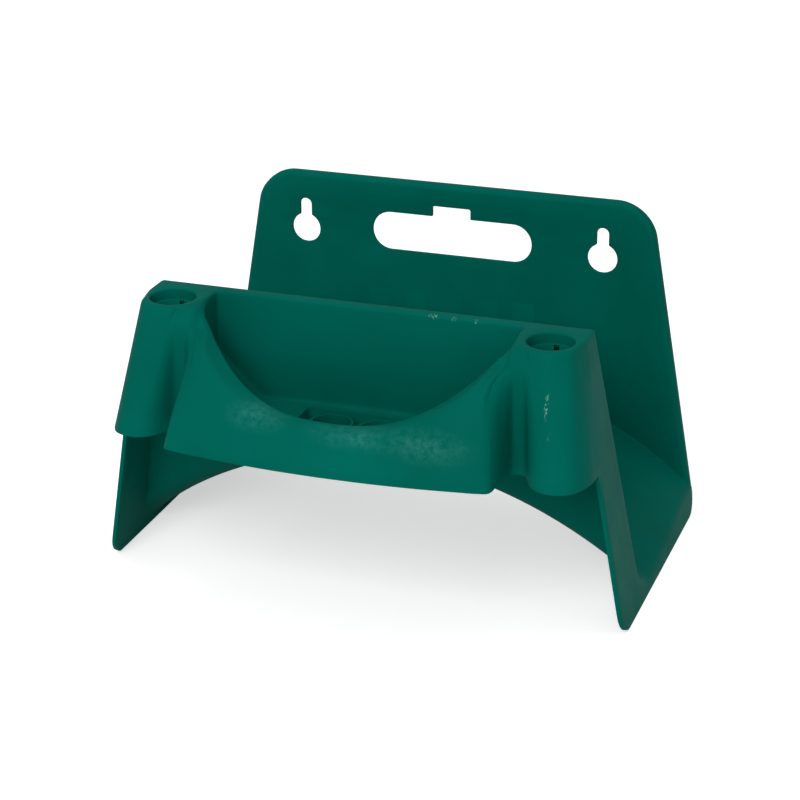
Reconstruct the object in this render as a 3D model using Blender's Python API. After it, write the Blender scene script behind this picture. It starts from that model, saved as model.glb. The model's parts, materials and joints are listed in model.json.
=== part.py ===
"""Wall hanger for a garden hose: one green moulding, modelled as its moulded walls.

Units are metres, +Z is up and +Y points at the wall. X = 0 is the plane of symmetry.
Z = 0 is the level that the side walls stand on, and Y = 0 is the middle of the depth.
"""
import functools
import math

import bmesh
import bpy
from mathutils import Vector

# Clearance that neighbouring solids keep
GAP = 0.0003

# Overall shape
HEIGHT = 0.184
DECK_SHARE = 0.866848
DECK_Z = DECK_SHARE * HEIGHT
TOP_HALF_WIDTH = 0.117
FLARE = 0.171
WALL_Y = 0.11225
RIM_DEPTH = 0.006

# Wall thicknesses
PANEL_T = 0.0025
RIM_T = 0.0024
SIDE_T = 0.003
LIP_T = 0.0026
DECK_T = 0.0026
SKIRT_T = 0.002
BOWL_T = 0.002
FLOOR_T = 0.0026
EDGE_ROUND = 0.0005

# Back panel
PANEL_CORNER_R = 0.0235
PANEL_EDGE_R = 0.0036
HEEL_R = 0.0135
KEYHOLE_X = 0.09
KEYHOLE_DROP = 0.034
KEYHOLE_Z = HEIGHT - KEYHOLE_DROP
KEYHOLE_R = 0.0087
KEYHOLE_SLOT_W = 0.007
KEYHOLE_SLOT_RISE = 0.018
HAND_SLOT_HALF = 0.0482
HAND_SLOT_H = 0.0228
HAND_SLOT_DROP = 0.0307
HAND_SLOT_Z = HEIGHT - HAND_SLOT_DROP
NOTCH_HALF = 0.0114
NOTCH_RISE = 0.0062
RIB_PITCH = 0.022
RIB_W = 0.0133
RIB_T = 0.0008
RIB_TOP_DROP = 0.031
RIB_TOP_Z = DECK_Z - RIB_TOP_DROP

# Saddle that carries the coils
CHANNEL = 0.13375
SADDLE_R = 0.2175
SADDLE_END_SHARE = 0.0899178
SADDLE_END_Z = SADDLE_END_SHARE * HEIGHT
SADDLE_END_X = TOP_HALF_WIDTH + FLARE * (HEIGHT - SADDLE_END_Z)
SADDLE_CROWN_Z = SADDLE_END_Z + SADDLE_R - math.sqrt(SADDLE_R ** 2 - SADDLE_END_X ** 2)
SADDLE_TILT = 0.0925
SADDLE_END_R = 0.010
ARCH_DROP = 0.01125
ARCH_R = 0.225
LIP_LEAN = 0.09
LIP_FOOT_R = 0.021

# Side walls: the upright strip in front and the low border under the saddle
STRIP_FRONT_TOP = 0.043
STRIP_FRONT_SKIRT = 0.0568
STRIP_FRONT_FOOT = 0.0555
STRIP_FOOT_R = 0.013

# Sockets in the two towers
SOCKET_X = 0.10425
SOCKET_Y = 0.0501
SOCKET_R = 0.0123
SOCKET_LEDGE = 0.0012
SOCKET_LEDGE_DEPTH = 0.006
SOCKET_TUBE_T = 0.0018
SOCKET_TUBE_LENGTH = 0.022
SOCKET_SLIT_W = 0.0017
TOWER_R = 0.017
TOWER_FOOT_Y = 0.0728
TOWER_FOOT_R = 0.0147
SKIRT_DROP = 0.0675
SKIRT_FOOT_Z = DECK_Z - SKIRT_DROP

# Valleys between the towers and the pocket
VALLEY_FOOT_Y = 0.0686
SHOULDER_DIP = 0.001

# Apron in front of the pocket
APRON_DROP = 0.0637
APRON_FOOT_Z = DECK_Z - APRON_DROP
APRON_HALF = 0.0893
VALLEY_WIDTH = 0.0032
VALLEY_X = APRON_HALF + VALLEY_WIDTH
TOWER_FOOT_REACH = 0.023
TOWER_FOOT_X = VALLEY_X + TOWER_FOOT_REACH
APRON_FOOT_Y = 0.11225
APRON_TOP_Y = 0.0663
APRON_FOOT_BOW = 1.0
APRON_TOP_BOW = 1.45
RIM_DROP = 0.04175
RIM_LOW_Z = DECK_Z - RIM_DROP
RIM_RISE = 0.03625
RIM_SPAN = 0.08375
RIM_POWER = 2.6
SHOULDER_SHARE = 0.195
SHOULDER_ROLL = 1.8
SHOULDER_BRIDGE = (0.16, 0.29, 0.45, 0.6, 0.72, 0.82, 0.91)
SWELL_OUT = 0.012
SWELL_IN = 0.008
SWELL_ONSET = 0.065
SWELL_SIDE_ONSET = 0.13
SWELL_START = 0.185
SWELL_MIDDLE = 0.35

# Pocket
POCKET_HALF = 0.0857
POCKET_FLOOR_HALF = 0.0612
POCKET_DEPTH = 0.057
POCKET_BEND_DROP = 0.0333
POCKET_FLOOR_Z = DECK_Z - POCKET_DEPTH
POCKET_BEND_Z = DECK_Z - POCKET_BEND_DROP
POCKET_BACK_Y = 0.0342
POCKET_BACK_DRAFT = 0.05
POCKET_FLOOR_REACH = 0.0475
WELL_HALF = 0.0315
WELL_BACK = 0.0035
WELL_FRONT = 0.038
WELL_DEPTH = 0.0075
RING_X = 0.0135
RING_R = 0.0122
RING_T = 0.0016
RING_BACK = 0.009

PANEL_Y = WALL_Y - RIM_DEPTH
LIP_TOP_Y = PANEL_Y - CHANNEL
DECK_UNDER = DECK_Z - DECK_T - GAP


def half_width(z):
    """Half of the outer width at a height: the sides flare out downwards."""
    return TOP_HALF_WIDTH + FLARE * (HEIGHT - z)


def lip_back(z):
    """Y of the lip wall's face on the channel side."""
    return LIP_TOP_Y + LIP_LEAN * (DECK_Z - z)


def crown_height(y):
    """Height of the saddle's crown: it falls away from the wall."""
    return SADDLE_CROWN_Z - SADDLE_TILT * (PANEL_Y - y)


def saddle_bend(crown):
    """Where the saddle's arc bends down into the side plane: angle, centre X and centre Z."""
    slope = math.atan(FLARE)
    arc_z = crown - SADDLE_R
    reach = (TOP_HALF_WIDTH + FLARE * HEIGHT) * math.cos(slope) - SADDLE_END_R - arc_z * math.sin(slope)
    angle = math.asin(reach / (SADDLE_R - SADDLE_END_R)) - slope
    span = SADDLE_R - SADDLE_END_R
    return angle, span * math.sin(angle), arc_z + span * math.cos(angle)


def saddle_height(x, crown):
    """Height of the saddle's top face at an X."""
    angle, bend_x, bend_z = saddle_bend(crown)
    x = abs(x)
    if x < SADDLE_R * math.sin(angle):
        return crown - SADDLE_R + math.sqrt(SADDLE_R ** 2 - x ** 2)
    return bend_z + math.sqrt(max(SADDLE_END_R ** 2 - (x - bend_x) ** 2, 0.0))


def saddle_section(crown, depth):
    """X and Z across the saddle, a depth under its top face, from left to right."""
    angle, bend_x, bend_z = saddle_bend(crown)
    half = [((SADDLE_R - depth) * math.sin(a), crown - SADDLE_R + (SADDLE_R - depth) * math.cos(a))
            for a in spread(0.0, angle, 22)]
    for a in spread(angle, math.pi / 2 - math.atan(FLARE), 7)[1:]:
        half.append((bend_x + (SADDLE_END_R - depth) * math.sin(a), bend_z + (SADDLE_END_R - depth) * math.cos(a)))
    return [(-x, z) for x, z in half[:0:-1]] + half


def saddle_end(y):
    """Lowest height of the saddle where its bend reaches the side plane."""
    return saddle_section(crown_height(y), FLOOR_T)[-1][1]


def arch_edge(x):
    """Lower edge of the back panel."""
    return SADDLE_CROWN_Z - ARCH_DROP - ARCH_R + math.sqrt(ARCH_R ** 2 - x ** 2)


def meet_side(curve, inset):
    """X where a curve z(x) reaches the side plane moved in by an inset."""
    low, high = 0.0, half_width(0.0)
    for _ in range(60):
        middle = (low + high) / 2
        if middle < half_width(curve(middle)) - inset:
            low = middle
        else:
            high = middle
    return low


def lip_section(height, offset):
    """Y and Z down the lip wall and round its foot, an offset outside the channel.

    The height is that of the saddle's top face at Y = 0.
    """
    lean, tilt = math.hypot(1, LIP_LEAN), math.hypot(1, SADDLE_TILT)
    wall = LIP_TOP_Y + LIP_LEAN * DECK_Z + LIP_FOOT_R * lean
    floor = height + LIP_FOOT_R * tilt
    centre_y = (wall - LIP_LEAN * floor) / (1 + LIP_LEAN * SADDLE_TILT)
    centre_z = floor + SADDLE_TILT * centre_y
    radius = LIP_FOOT_R + offset
    start, end = math.atan(LIP_LEAN) - math.pi, math.atan(SADDLE_TILT) - math.pi / 2
    section = [(centre_y + radius * math.cos(a), centre_z + radius * math.sin(a)) for a in spread(start, end, 9)]
    top = (lip_back(DECK_UNDER) - offset * lean, DECK_UNDER)
    upper = [[a + (b - a) * f for a, b in zip(top, section[0])] for f in (0.0, 0.5)]
    return upper + section


def lip_foot(x):
    """Y where the lip wall's foot runs out on the saddle at an X."""
    limit = meet_side(lambda a: saddle_height(a, crown_height(0.0)), SIDE_T + GAP)
    return lip_section(saddle_height(min(abs(x), limit), crown_height(0.0)), 0.0)[-1][0]


def new_material():
    material = bpy.data.materials.new("green_plastic")
    material.use_nodes = True
    shader = material.node_tree.nodes["Principled BSDF"]
    shader.inputs["Base Color"].default_value = (0.001, 0.105, 0.075, 1.0)
    shader.inputs["Roughness"].default_value = 0.42
    shader.inputs["Metallic"].default_value = 0.0
    return material


def new_object(name, points, faces, round_edges=0.0, smooth_angle=35):
    """Closed mesh object with its own plastic material."""
    mesh = bpy.data.meshes.new(name)
    mesh.from_pydata([tuple(point) for point in points], [], faces)
    body = bmesh.new()
    body.from_mesh(mesh)
    bmesh.ops.recalc_face_normals(body, faces=body.faces)
    if body.calc_volume(signed=True) < 0:
        bmesh.ops.reverse_faces(body, faces=body.faces)
    body.to_mesh(mesh)
    body.free()
    obj = bpy.data.objects.new(name, mesh)
    bpy.context.scene.collection.objects.link(obj)
    mesh.materials.append(new_material())
    mesh.shade_smooth()
    mesh.set_sharp_from_angle(angle=math.radians(smooth_angle))
    if round_edges:
        add_rounding(obj, round_edges)
    return obj


def add_rounding(obj, width):
    bevel = obj.modifiers.new("rounding", "BEVEL")
    bevel.width = width
    bevel.segments = 2
    bevel.limit_method = "ANGLE"
    bevel.angle_limit = math.radians(50)


def prism(name, front, back, round_edges=0.0):
    """Solid between two outlines that have the same number of points."""
    count = len(front)
    faces = [list(range(count)), list(range(count, 2 * count))[::-1]]
    for i in range(count):
        j = (i + 1) % count
        faces.append([i, j, count + j, count + i])
    return new_object(name, front + back, faces, round_edges)


def sheet(name, outer, inner):
    """Solid between two grids of points that have the same rows and columns."""
    rows, columns = len(outer), len(outer[0])
    points = [p for row in outer for p in row] + [p for row in inner for p in row]
    shift = rows * columns

    def at(i, j, side):
        return side * shift + i * columns + j

    faces = []
    for i in range(rows - 1):
        for j in range(columns - 1):
            for side in (0, 1):
                faces.append([at(i, j, side), at(i + 1, j, side),
                              at(i + 1, j + 1, side), at(i, j + 1, side)])
    for i in range(rows - 1):
        for j in (0, columns - 1):
            faces.append([at(i, j, 0), at(i + 1, j, 0), at(i + 1, j, 1), at(i, j, 1)])
    for j in range(columns - 1):
        for i in (0, rows - 1):
            faces.append([at(i, j, 0), at(i, j + 1, 0), at(i, j + 1, 1), at(i, j, 1)])
    return new_object(name, points, faces)


def rounded(corners, steps=6):
    """Outline through corners (a, b, radius), each turned into an arc."""
    outline = []
    count = len(corners)
    for i, (a, b, radius) in enumerate(corners):
        here = Vector((a, b))
        if radius <= 0:
            outline.append(here)
            continue
        before = (Vector(corners[i - 1][:2]) - here).normalized()
        after = (Vector(corners[(i + 1) % count][:2]) - here).normalized()
        half = before.angle(after) / 2
        reach = radius / math.tan(half)
        centre = here + (before + after).normalized() * radius / math.sin(half)
        start = here + before * reach - centre
        turn = start.angle_signed(here + after * reach - centre)
        for k in range(steps + 1):
            angle = -turn * k / steps
            c, s = math.cos(angle), math.sin(angle)
            outline.append(centre + Vector((c * start.x - s * start.y, s * start.x + c * start.y)))
    return outline


def cutter(name, front, back):
    obj = prism(name, front, back)
    obj.hide_render = True
    obj.display_type = "WIRE"
    return obj


def cut(obj, tool):
    boolean = obj.modifiers.new("cut_" + tool.name, "BOOLEAN")
    boolean.operation = "DIFFERENCE"
    boolean.object = tool


def spread(low, high, count):
    return [low + (high - low) * k / (count - 1) for k in range(count)]


def spline(points, t):
    """Catmull-Rom curve through 2-D points, read at a real-numbered station."""
    last = len(points) - 1
    t = min(max(t, 0.0), last)
    i = min(int(t), last - 1)
    f = t - i
    p1, p2 = points[i], points[i + 1]
    p0 = points[i - 1] if i > 0 else [2 * a - b for a, b in zip(p1, p2)]
    p3 = points[i + 2] if i + 2 <= last else [2 * a - b for a, b in zip(p2, p1)]
    return [0.5 * (2 * b + (c - a) * f + (2 * a - 5 * b + 4 * c - d) * f * f
                   + (3 * b - a - 3 * c + d) * f ** 3)
            for a, b, c, d in zip(p0, p1, p2, p3)]


def top_edge(inset):
    """The panel's edge over the top, moved in by an inset, as X and Z from left to right."""
    side = half_width(HEIGHT - inset) - inset * math.hypot(1, FLARE)
    low = half_width(0.0) - inset * math.hypot(1, FLARE)
    corners = [(-side, HEIGHT - inset, PANEL_CORNER_R - inset), (side, HEIGHT - inset, PANEL_CORNER_R - inset)]
    return rounded(corners + [(low, 0.0, 0), (-low, 0.0, 0)], 8)[:-2]


def panel_outline():
    """Outline of the back panel in X and Z, inside its rounded rim."""
    inset = PANEL_EDGE_R + GAP
    reach = meet_side(arch_edge, inset * math.hypot(1, FLARE))
    return top_edge(inset) + [Vector((x, arch_edge(x))) for x in spread(reach, -reach, 35)]


def build_back_panel():
    outline = panel_outline()
    front = [(p.x, PANEL_Y, p.y) for p in outline]
    back = [(p.x, PANEL_Y + PANEL_T, p.y) for p in outline]
    panel = prism("back_panel", front, back)
    reach = 2 * PANEL_T

    def through(name, shape):
        front_side = [(p[0], PANEL_Y - reach, p[1]) for p in shape]
        back_side = [(p[0], PANEL_Y + PANEL_T + reach, p[1]) for p in shape]
        cut(panel, cutter(name, front_side, back_side))

    low, high = HAND_SLOT_Z - HAND_SLOT_H / 2, HAND_SLOT_Z + HAND_SLOT_H / 2
    end = HAND_SLOT_H / 2 - 0.0001
    fillet = min(0.0015, NOTCH_RISE / 3)
    through("cut_hand_slot", rounded([
        (-HAND_SLOT_HALF, low, end), (HAND_SLOT_HALF, low, end), (HAND_SLOT_HALF, high, end),
        (NOTCH_HALF, high, fillet), (NOTCH_HALF, high + NOTCH_RISE, fillet / 2),
        (-NOTCH_HALF, high + NOTCH_RISE, fillet / 2), (-NOTCH_HALF, high, fillet),
        (-HAND_SLOT_HALF, high, end)], 8))
    half = KEYHOLE_SLOT_W / 2
    start = math.asin(half / KEYHOLE_R)
    for name, side in (("left", -1), ("right", 1)):
        shape = []
        for angle in spread(math.pi / 2 + start, 5 * math.pi / 2 - start, 25):
            shape.append((side * KEYHOLE_X + KEYHOLE_R * math.cos(angle),
                          KEYHOLE_Z + KEYHOLE_R * math.sin(angle)))
        for angle in spread(0, math.pi, 9):
            shape.append((side * KEYHOLE_X + half * math.cos(angle),
                          KEYHOLE_Z + KEYHOLE_SLOT_RISE - half + half * math.sin(angle)))
        through("cut_keyhole_" + name, shape)
    add_rounding(panel, EDGE_ROUND)


def rim_section(depth):
    """Inset and Y across the rim, a depth under its outer face: round the edge, then back."""
    radius = PANEL_EDGE_R - depth
    section = [(PANEL_EDGE_R - radius * math.sin(a), PANEL_Y + PANEL_EDGE_R - radius * math.cos(a))
               for a in spread(0.0, math.pi / 2, 5)]
    return section + [(depth, WALL_Y)]


def build_rims():
    """Edge of the panel turned back to the wall: over the top and down both sides."""
    over, down = [], []
    low = saddle_end(PANEL_Y)
    for depth in (0.0, RIM_T):
        section = rim_section(depth)
        edges = [top_edge(inset) for inset, _ in section]
        rows = [[(edge[i].x, y, edge[i].y) for edge, (_, y) in zip(edges, section)] for i in range(len(edges[0]))]
        over.append(rows)
        high = [(x, y, z - GAP) for x, y, z in rows[-1]]
        down.append([high, [(half_width(low) - inset * math.hypot(1, FLARE), y, low) for inset, y in section]])
    sheet("rim_top", *over)
    sheet("rim_right", *down)
    sheet("rim_left", *[[[(-x, y, z) for x, y, z in row] for row in rows] for rows in down])


def build_panel_ribs():
    """Five shallow upright ribs that stiffen the panel above the saddle."""
    for index, place in enumerate((-2, -1, 0, 1, 2), 1):
        x = place * RIB_PITCH
        foot = max(saddle_height(x - RIB_W / 2, SADDLE_CROWN_Z), saddle_height(x + RIB_W / 2, SADDLE_CROWN_Z)) + GAP
        front, back = [], []
        for a, z in ((x - RIB_W / 2, foot), (x + RIB_W / 2, foot),
                     (x + RIB_W / 2, RIB_TOP_Z), (x - RIB_W / 2, RIB_TOP_Z)):
            back.append((a, PANEL_Y - GAP, z))
            thick = RIB_T if z == foot else RIB_T / 3
            front.append((a, PANEL_Y - GAP - thick, z))
        prism("panel_rib_%d" % index, front, back)


def build_saddle():
    """Arched floor between the back panel and the lip wall."""
    faces = []
    for depth in (0.0, FLOOR_T):
        back = [(x, PANEL_Y - GAP, z) for x, z in saddle_section(crown_height(PANEL_Y - GAP), depth)]
        front = []
        for i, (x, _, _) in enumerate(back):
            y = lip_foot(x) + GAP + depth * SADDLE_TILT
            x, z = saddle_section(crown_height(y), depth)[i]
            front.append((x, y, z))
        faces.append([back, front])
    sheet("saddle_floor", *faces)


def side_solid(name, side, outline, thickness):
    """Solid in the flaring side plane, from an outline in Y and Z."""
    outer = [(side * half_width(p.y), p.x, p.y) for p in outline]
    inner = [(side * (half_width(p.y) - thickness), p.x, p.y) for p in outline]
    prism(name, outer, inner)


def build_sides():
    """Strip in front of the channel's end, and border under it back to the wall."""
    foot_y = lip_foot(half_width(0.0))
    inner_end = meet_side(lambda a: saddle_height(a, crown_height(0.0)), SIDE_T + GAP)
    rear = [(y, z, 0) for y, z in lip_section(saddle_height(inner_end, crown_height(0.0)), 0.0)]
    strip = [(foot_y, 0.0, 0)] + rear[::-1]
    strip += [(-STRIP_FRONT_TOP, DECK_UNDER, 0), (-STRIP_FRONT_SKIRT, SKIRT_FOOT_Z, 0),
              (-STRIP_FRONT_FOOT, 0.0, STRIP_FOOT_R)]
    top_z = saddle_end(PANEL_Y) - GAP
    border = [(foot_y + GAP, 0.0, 0), (foot_y + GAP, saddle_end(foot_y) - GAP, 0), (PANEL_Y, top_z, 0),
              (WALL_Y, top_z, 0), (WALL_Y, 0.0, min(HEEL_R, 0.95 * top_z))]
    for name, side in (("left", -1), ("right", 1)):
        side_solid("side_strip_" + name, side, rounded(strip), SIDE_T)
        side_solid("side_border_" + name, side, rounded(border), SIDE_T)


def build_lip_wall():
    """Wall between the channel and the pocket, rounded into the saddle at its foot."""
    inset = SIDE_T + GAP
    crown = crown_height(0.0)
    end = meet_side(lambda a: saddle_height(a, crown), inset)
    faces = [[], []]
    for f in spread(-1, 1, 43):
        height = saddle_height(f * end, crown)
        for face, offset in zip(faces, (0.0, LIP_T)):
            face.append([(f * (half_width(z) - inset), y, z) for y, z in lip_section(height, offset)])
    sheet("lip_wall", *faces)


# Stations of the skirt in plan, from the side wall to the middle of the apron
FLANK_STATION = 10
LAST_STATION = 16
KNEE_ROW = 0.25


def skirt_stations(foot):
    """Plan points of the skirt's outer face at its top or at its foot."""
    z = SKIRT_FOOT_Z if foot else DECK_Z
    if foot:
        centre, radius = (TOWER_FOOT_X, -TOWER_FOOT_Y), TOWER_FOOT_R
        start_y, valley_y = -STRIP_FRONT_SKIRT, -VALLEY_FOOT_Y
        low, bow = -APRON_FOOT_Y, APRON_FOOT_BOW
    else:
        centre, radius = (SOCKET_X, -SOCKET_Y), TOWER_R
        start_y = -STRIP_FRONT_TOP
        low, bow = -APRON_TOP_Y, APRON_TOP_BOW
    side_x = half_width(z)
    points = [(side_x, start_y - GAP)]
    shoulder_y = (start_y + centre[1] - radius) / 2
    points.append((side_x - 0.0012, shoulder_y + (0.002 if foot else 0.004)))
    for degrees in (-40, -75, -110):
        angle = math.radians(degrees)
        points.append((centre[0] + radius * math.cos(angle), centre[1] + radius * math.sin(angle)))
    apron = [(f * APRON_HALF, low + bow * (f * APRON_HALF) ** 2) for f in (0.93, 0.82, 0.56, 0.28, 0.0)]
    if foot:
        angle = math.radians(-145)
        points.append((centre[0] + radius * math.cos(angle), centre[1] + radius * math.sin(angle)))
        points.append(((centre[0] - radius + VALLEY_X) / 2 + 0.001, 0.35 * centre[1] + 0.65 * valley_y))
        points.append((VALLEY_X, valley_y))
        corner_y = low + bow * APRON_HALF ** 2
        reach = corner_y - valley_y
        points.append((APRON_HALF + 0.0005, valley_y + 0.08 * reach))
        points.append((APRON_HALF, valley_y + 0.40 * reach))
        points.append((APRON_HALF + 0.0003, valley_y + 0.78 * reach))
        points.append((APRON_HALF - 0.0010, corner_y + 0.0010))
    else:
        first, last = points[-1], apron[0]
        for f in (0.2, 0.34, 0.48, 0.6, 0.7, 0.8, 0.89):
            points.append((first[0] + (last[0] - first[0]) * f,
                           first[1] + (last[1] - first[1]) * f + SHOULDER_DIP * math.sin(math.pi * f)))
    return points + apron


def rim_height(x):
    """Height of the pocket's rim above Z = 0: low in the middle, up to the deck."""
    return RIM_LOW_Z + RIM_RISE * (abs(x) / RIM_SPAN) ** RIM_POWER


def smooth(f):
    """Ease from 0 to 1 as f goes from 0 to 1."""
    f = min(max(f, 0.0), 1.0)
    return f * f * (3 - 2 * f)


def blend(first, second, share):
    """Plan point at a share of the way from one to another."""
    return [a + (b - a) * share for a, b in zip(first, second)]


def foot_height(t):
    """Height of the skirt's lower edge at a station."""
    return SKIRT_FOOT_Z + (APRON_FOOT_Z - SKIRT_FOOT_Z) * smooth((t - 7.5) / 2.5)


def shoulder_stations():
    """Plan points at the shoulder's height, straight across from each tower to the apron's end."""
    level = [blend(top, foot, SHOULDER_SHARE) for top, foot in zip(TOP_STATIONS, FOOT_STATIONS)]
    return level[:5] + [blend(level[4], level[12], f) for f in SHOULDER_BRIDGE] + level[12:]


def skirt_frame(t, s):
    """Plan point of the skirt's outer face before it swells: station t, share s of the way down."""
    flute = smooth((t - 4.0) / 1.5) * (1 - smooth((t - 8.5) / 2.5))
    side = smooth((t - 7.5) / 1.5) * (1 - smooth(t - 11.0))
    shoulder = spline(SHOULDER_STATIONS, t)
    if s < SHOULDER_SHARE:
        start, end = spline(TOP_STATIONS, t), shoulder
        share = 1 - (1 - max(s, 0.0) / SHOULDER_SHARE) ** (1 + (SHOULDER_ROLL - 1) * flute)
    else:
        start, end = shoulder, spline(FOOT_STATIONS, t)
        share = (s - SHOULDER_SHARE) / (1 - SHOULDER_SHARE)
        root = math.sqrt(1.01) - 0.1
        share += side * ((math.sqrt(share + 0.01) - 0.1) / root - share)
    return blend(start, end, share)


@functools.lru_cache(maxsize=None)
def rim_share(t, top_limit):
    """Share of the way down at which the skirt meets the pocket's rim or the limit over it."""
    s = 0.0
    for _ in range(40):
        z_top = min(top_limit, rim_height(skirt_frame(t, s)[0]))
        s = 0.5 * s + 0.5 * (DECK_Z - z_top) / (DECK_Z - foot_height(t))
    return s


def skirt_plan(t, s):
    """Plan point of the skirt's outer face, full below the rim at the apron's ends."""
    x, y = skirt_frame(t, s)
    start = max(rim_share(t, DECK_Z), SWELL_START)
    below = min(max(s - start, 0.0) / (1 - start), 1.0)
    onset = 1 - math.exp(-below / SWELL_ONSET)
    out = smooth(t - 11.0) - (1 - SWELL_MIDDLE) * smooth((t - 12.5) / 3.5)
    across = smooth((t - 8.0) / 3.0) * (1 - smooth((t - 12.0) / 3.0))
    return [x - SWELL_IN * across * (1 - math.exp(-below / SWELL_SIDE_ONSET)) * (1 - below) ** 1.3,
            y - SWELL_OUT * out * onset * (1 - below) ** 0.65]


def skirt_point(t, w, top_limit):
    """Point of the outer face, with w = 0 at the upper edge and 1 at the foot."""
    top = rim_share(t, top_limit)
    knee = max(SWELL_START, top + 0.035)
    if w < KNEE_ROW:
        share = top + (knee - top) * w / KNEE_ROW
    else:
        share = knee + (1 - knee) * ((w - KNEE_ROW) / (1 - KNEE_ROW)) ** 1.4
    x, y = skirt_plan(t, share)
    return Vector((x, y, DECK_Z - share * (DECK_Z - foot_height(t))))


def skirt_wall(t, w, top_limit):
    """Outer point, and the inner point one wall behind it: level with it at the upper and lower edges."""
    here = skirt_point(t, w, top_limit)
    step = 0.02
    along = skirt_point(min(t + step, LAST_STATION), w, top_limit) - skirt_point(t - step, w, top_limit)
    down = skirt_point(t, min(w + step, 1), top_limit) - skirt_point(t, max(w - step, 0), top_limit)
    if t >= LAST_STATION - step:
        along = Vector((-1, 0, 0))
    normal = along.cross(down).normalized()
    plan = Vector((-along.y, along.x, 0)).normalized()
    level = plan * SKIRT_T / max(math.hypot(normal.x, normal.y), 0.7)
    inside = smooth(w / 0.08) * (1 - smooth((w - 0.9) / 0.1))
    return here, here - level.lerp(normal * SKIRT_T, inside)


TOP_STATIONS = skirt_stations(False)
FOOT_STATIONS = skirt_stations(True)
SHOULDER_STATIONS = shoulder_stations()


def station_beside(t, w, distance):
    """Station a distance along the skirt from station t, level with share w."""
    if distance == 0:
        return t
    step = 0.02
    near, far = skirt_point(t - step, w, DECK_UNDER), skirt_point(t + step, w, DECK_UNDER)
    return t + distance * 2 * step / (far - near).length


def skirt_piece(side, first, last, columns, rows):
    """Outer and inner grids of the skirt between two stations, each with its gap."""
    outer, inner = [[] for _ in range(columns)], [[] for _ in range(columns)]
    for w in spread(0, 1, rows):
        start, end = station_beside(first[0], w, first[1]), station_beside(last[0], w, -last[1])
        for k, t in enumerate(spread(start, end, columns)):
            p, q = skirt_wall(t, w, DECK_UNDER)
            outer[k].append((side * p.x, p.y, p.z))
            inner[k].append((side * q.x, q.y, q.z))
    return outer, inner


def build_skirts():
    """Towers, valleys and apron: one wavy wall, parted at the valleys."""
    tower_end, valley_end = 6.0, FLANK_STATION - 0.6
    for name, side in (("left", -1), ("right", 1)):
        grids = skirt_piece(side, (0.0, 0), (tower_end, 0.6 * GAP), 31, 13)
        sheet("tower_skirt_" + name, *grids)
        grids = skirt_piece(side, (tower_end, 0.6 * GAP), (valley_end, GAP), 17, 13)
        sheet("valley_" + name, *grids)
    right = skirt_piece(1, (valley_end, GAP), (LAST_STATION, 0), 33, 13)
    left = skirt_piece(-1, (valley_end, GAP), (LAST_STATION, 0), 33, 13)
    outer = right[0] + left[0][-2::-1]
    inner = right[1] + left[1][-2::-1]
    sheet("pocket_apron", outer, inner)


def build_decks():
    """Flat tops of the two towers, each with its socket hole, and the cap between."""
    cap_end = POCKET_HALF + BOWL_T
    back_y = LIP_TOP_Y
    for name, side in (("left", -1), ("right", 1)):
        side_x = half_width(DECK_Z)
        outline = [(cap_end + GAP, back_y), (side_x - 0.002, back_y), (side_x, back_y - 0.002)]
        for t in spread(0.0, 7.1, 29):
            outline.append(tuple(spline(TOP_STATIONS, t)))
        outline.append((cap_end + GAP, outline[-1][1] + 0.004))
        top = [(side * x, y, DECK_Z) for x, y in outline]
        under = [(side * x, y, DECK_Z - DECK_T) for x, y in outline]
        deck = prism("tower_deck_" + name, top, under)
        ring = [(side * SOCKET_X + SOCKET_R * math.cos(a), -SOCKET_Y + SOCKET_R * math.sin(a))
                for a in spread(0, 2 * math.pi, 49)[:-1]]
        cut(deck, cutter("cut_socket_" + name, [(x, y, DECK_Z + DECK_T) for x, y in ring],
                         [(x, y, DECK_Z - 2 * DECK_T) for x, y in ring]))
    front_y = -POCKET_BACK_Y
    cap = [(-cap_end, back_y), (cap_end, back_y), (cap_end, front_y), (-cap_end, front_y)]
    top, under = [(x, y, DECK_Z) for x, y in cap], [(x, y, DECK_Z - DECK_T) for x, y in cap]
    prism("lip_cap", top, under, EDGE_ROUND)


def build_socket_tubes():
    """Tube under each socket hole, with an inner ledge and a slit at the back."""
    top = DECK_UNDER
    ledge = DECK_Z - SOCKET_LEDGE_DEPTH
    foot = DECK_Z - SOCKET_TUBE_LENGTH
    outer_r, low_r = SOCKET_R + SOCKET_TUBE_T, SOCKET_R - SOCKET_LEDGE
    profile = [(outer_r, top), (outer_r, foot), (low_r, foot)]
    profile += [(low_r, ledge), (SOCKET_R, ledge), (SOCKET_R, top)]
    turns = 48
    for name, side in (("left", -1), ("right", 1)):
        points, faces = [], []
        for k in range(turns):
            angle = 2 * math.pi * k / turns
            for r, z in profile:
                points.append((side * SOCKET_X + r * math.cos(angle), -SOCKET_Y + r * math.sin(angle), z))
        size = len(profile)
        for k in range(turns):
            for i in range(size):
                j, n = (i + 1) % size, (k + 1) % turns
                faces.append([k * size + i, k * size + j, n * size + j, n * size + i])
        tube = new_object("socket_tube_" + name, points, faces)
        x, half = side * SOCKET_X, SOCKET_SLIT_W / 2
        slit = [(x - half, -SOCKET_Y), (x + half, -SOCKET_Y),
                (x + half, -SOCKET_Y + 2 * outer_r), (x - half, -SOCKET_Y + 2 * outer_r)]
        cut(tube, cutter("cut_slit_" + name, [(a, b, ledge - 0.0005) for a, b in slit],
                         [(a, b, foot - 0.002) for a, b in slit]))


def pocket_back(z):
    """Y of the pocket's back wall on the pocket side."""
    return -POCKET_BACK_Y - POCKET_BACK_DRAFT * (DECK_Z - z)


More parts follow.
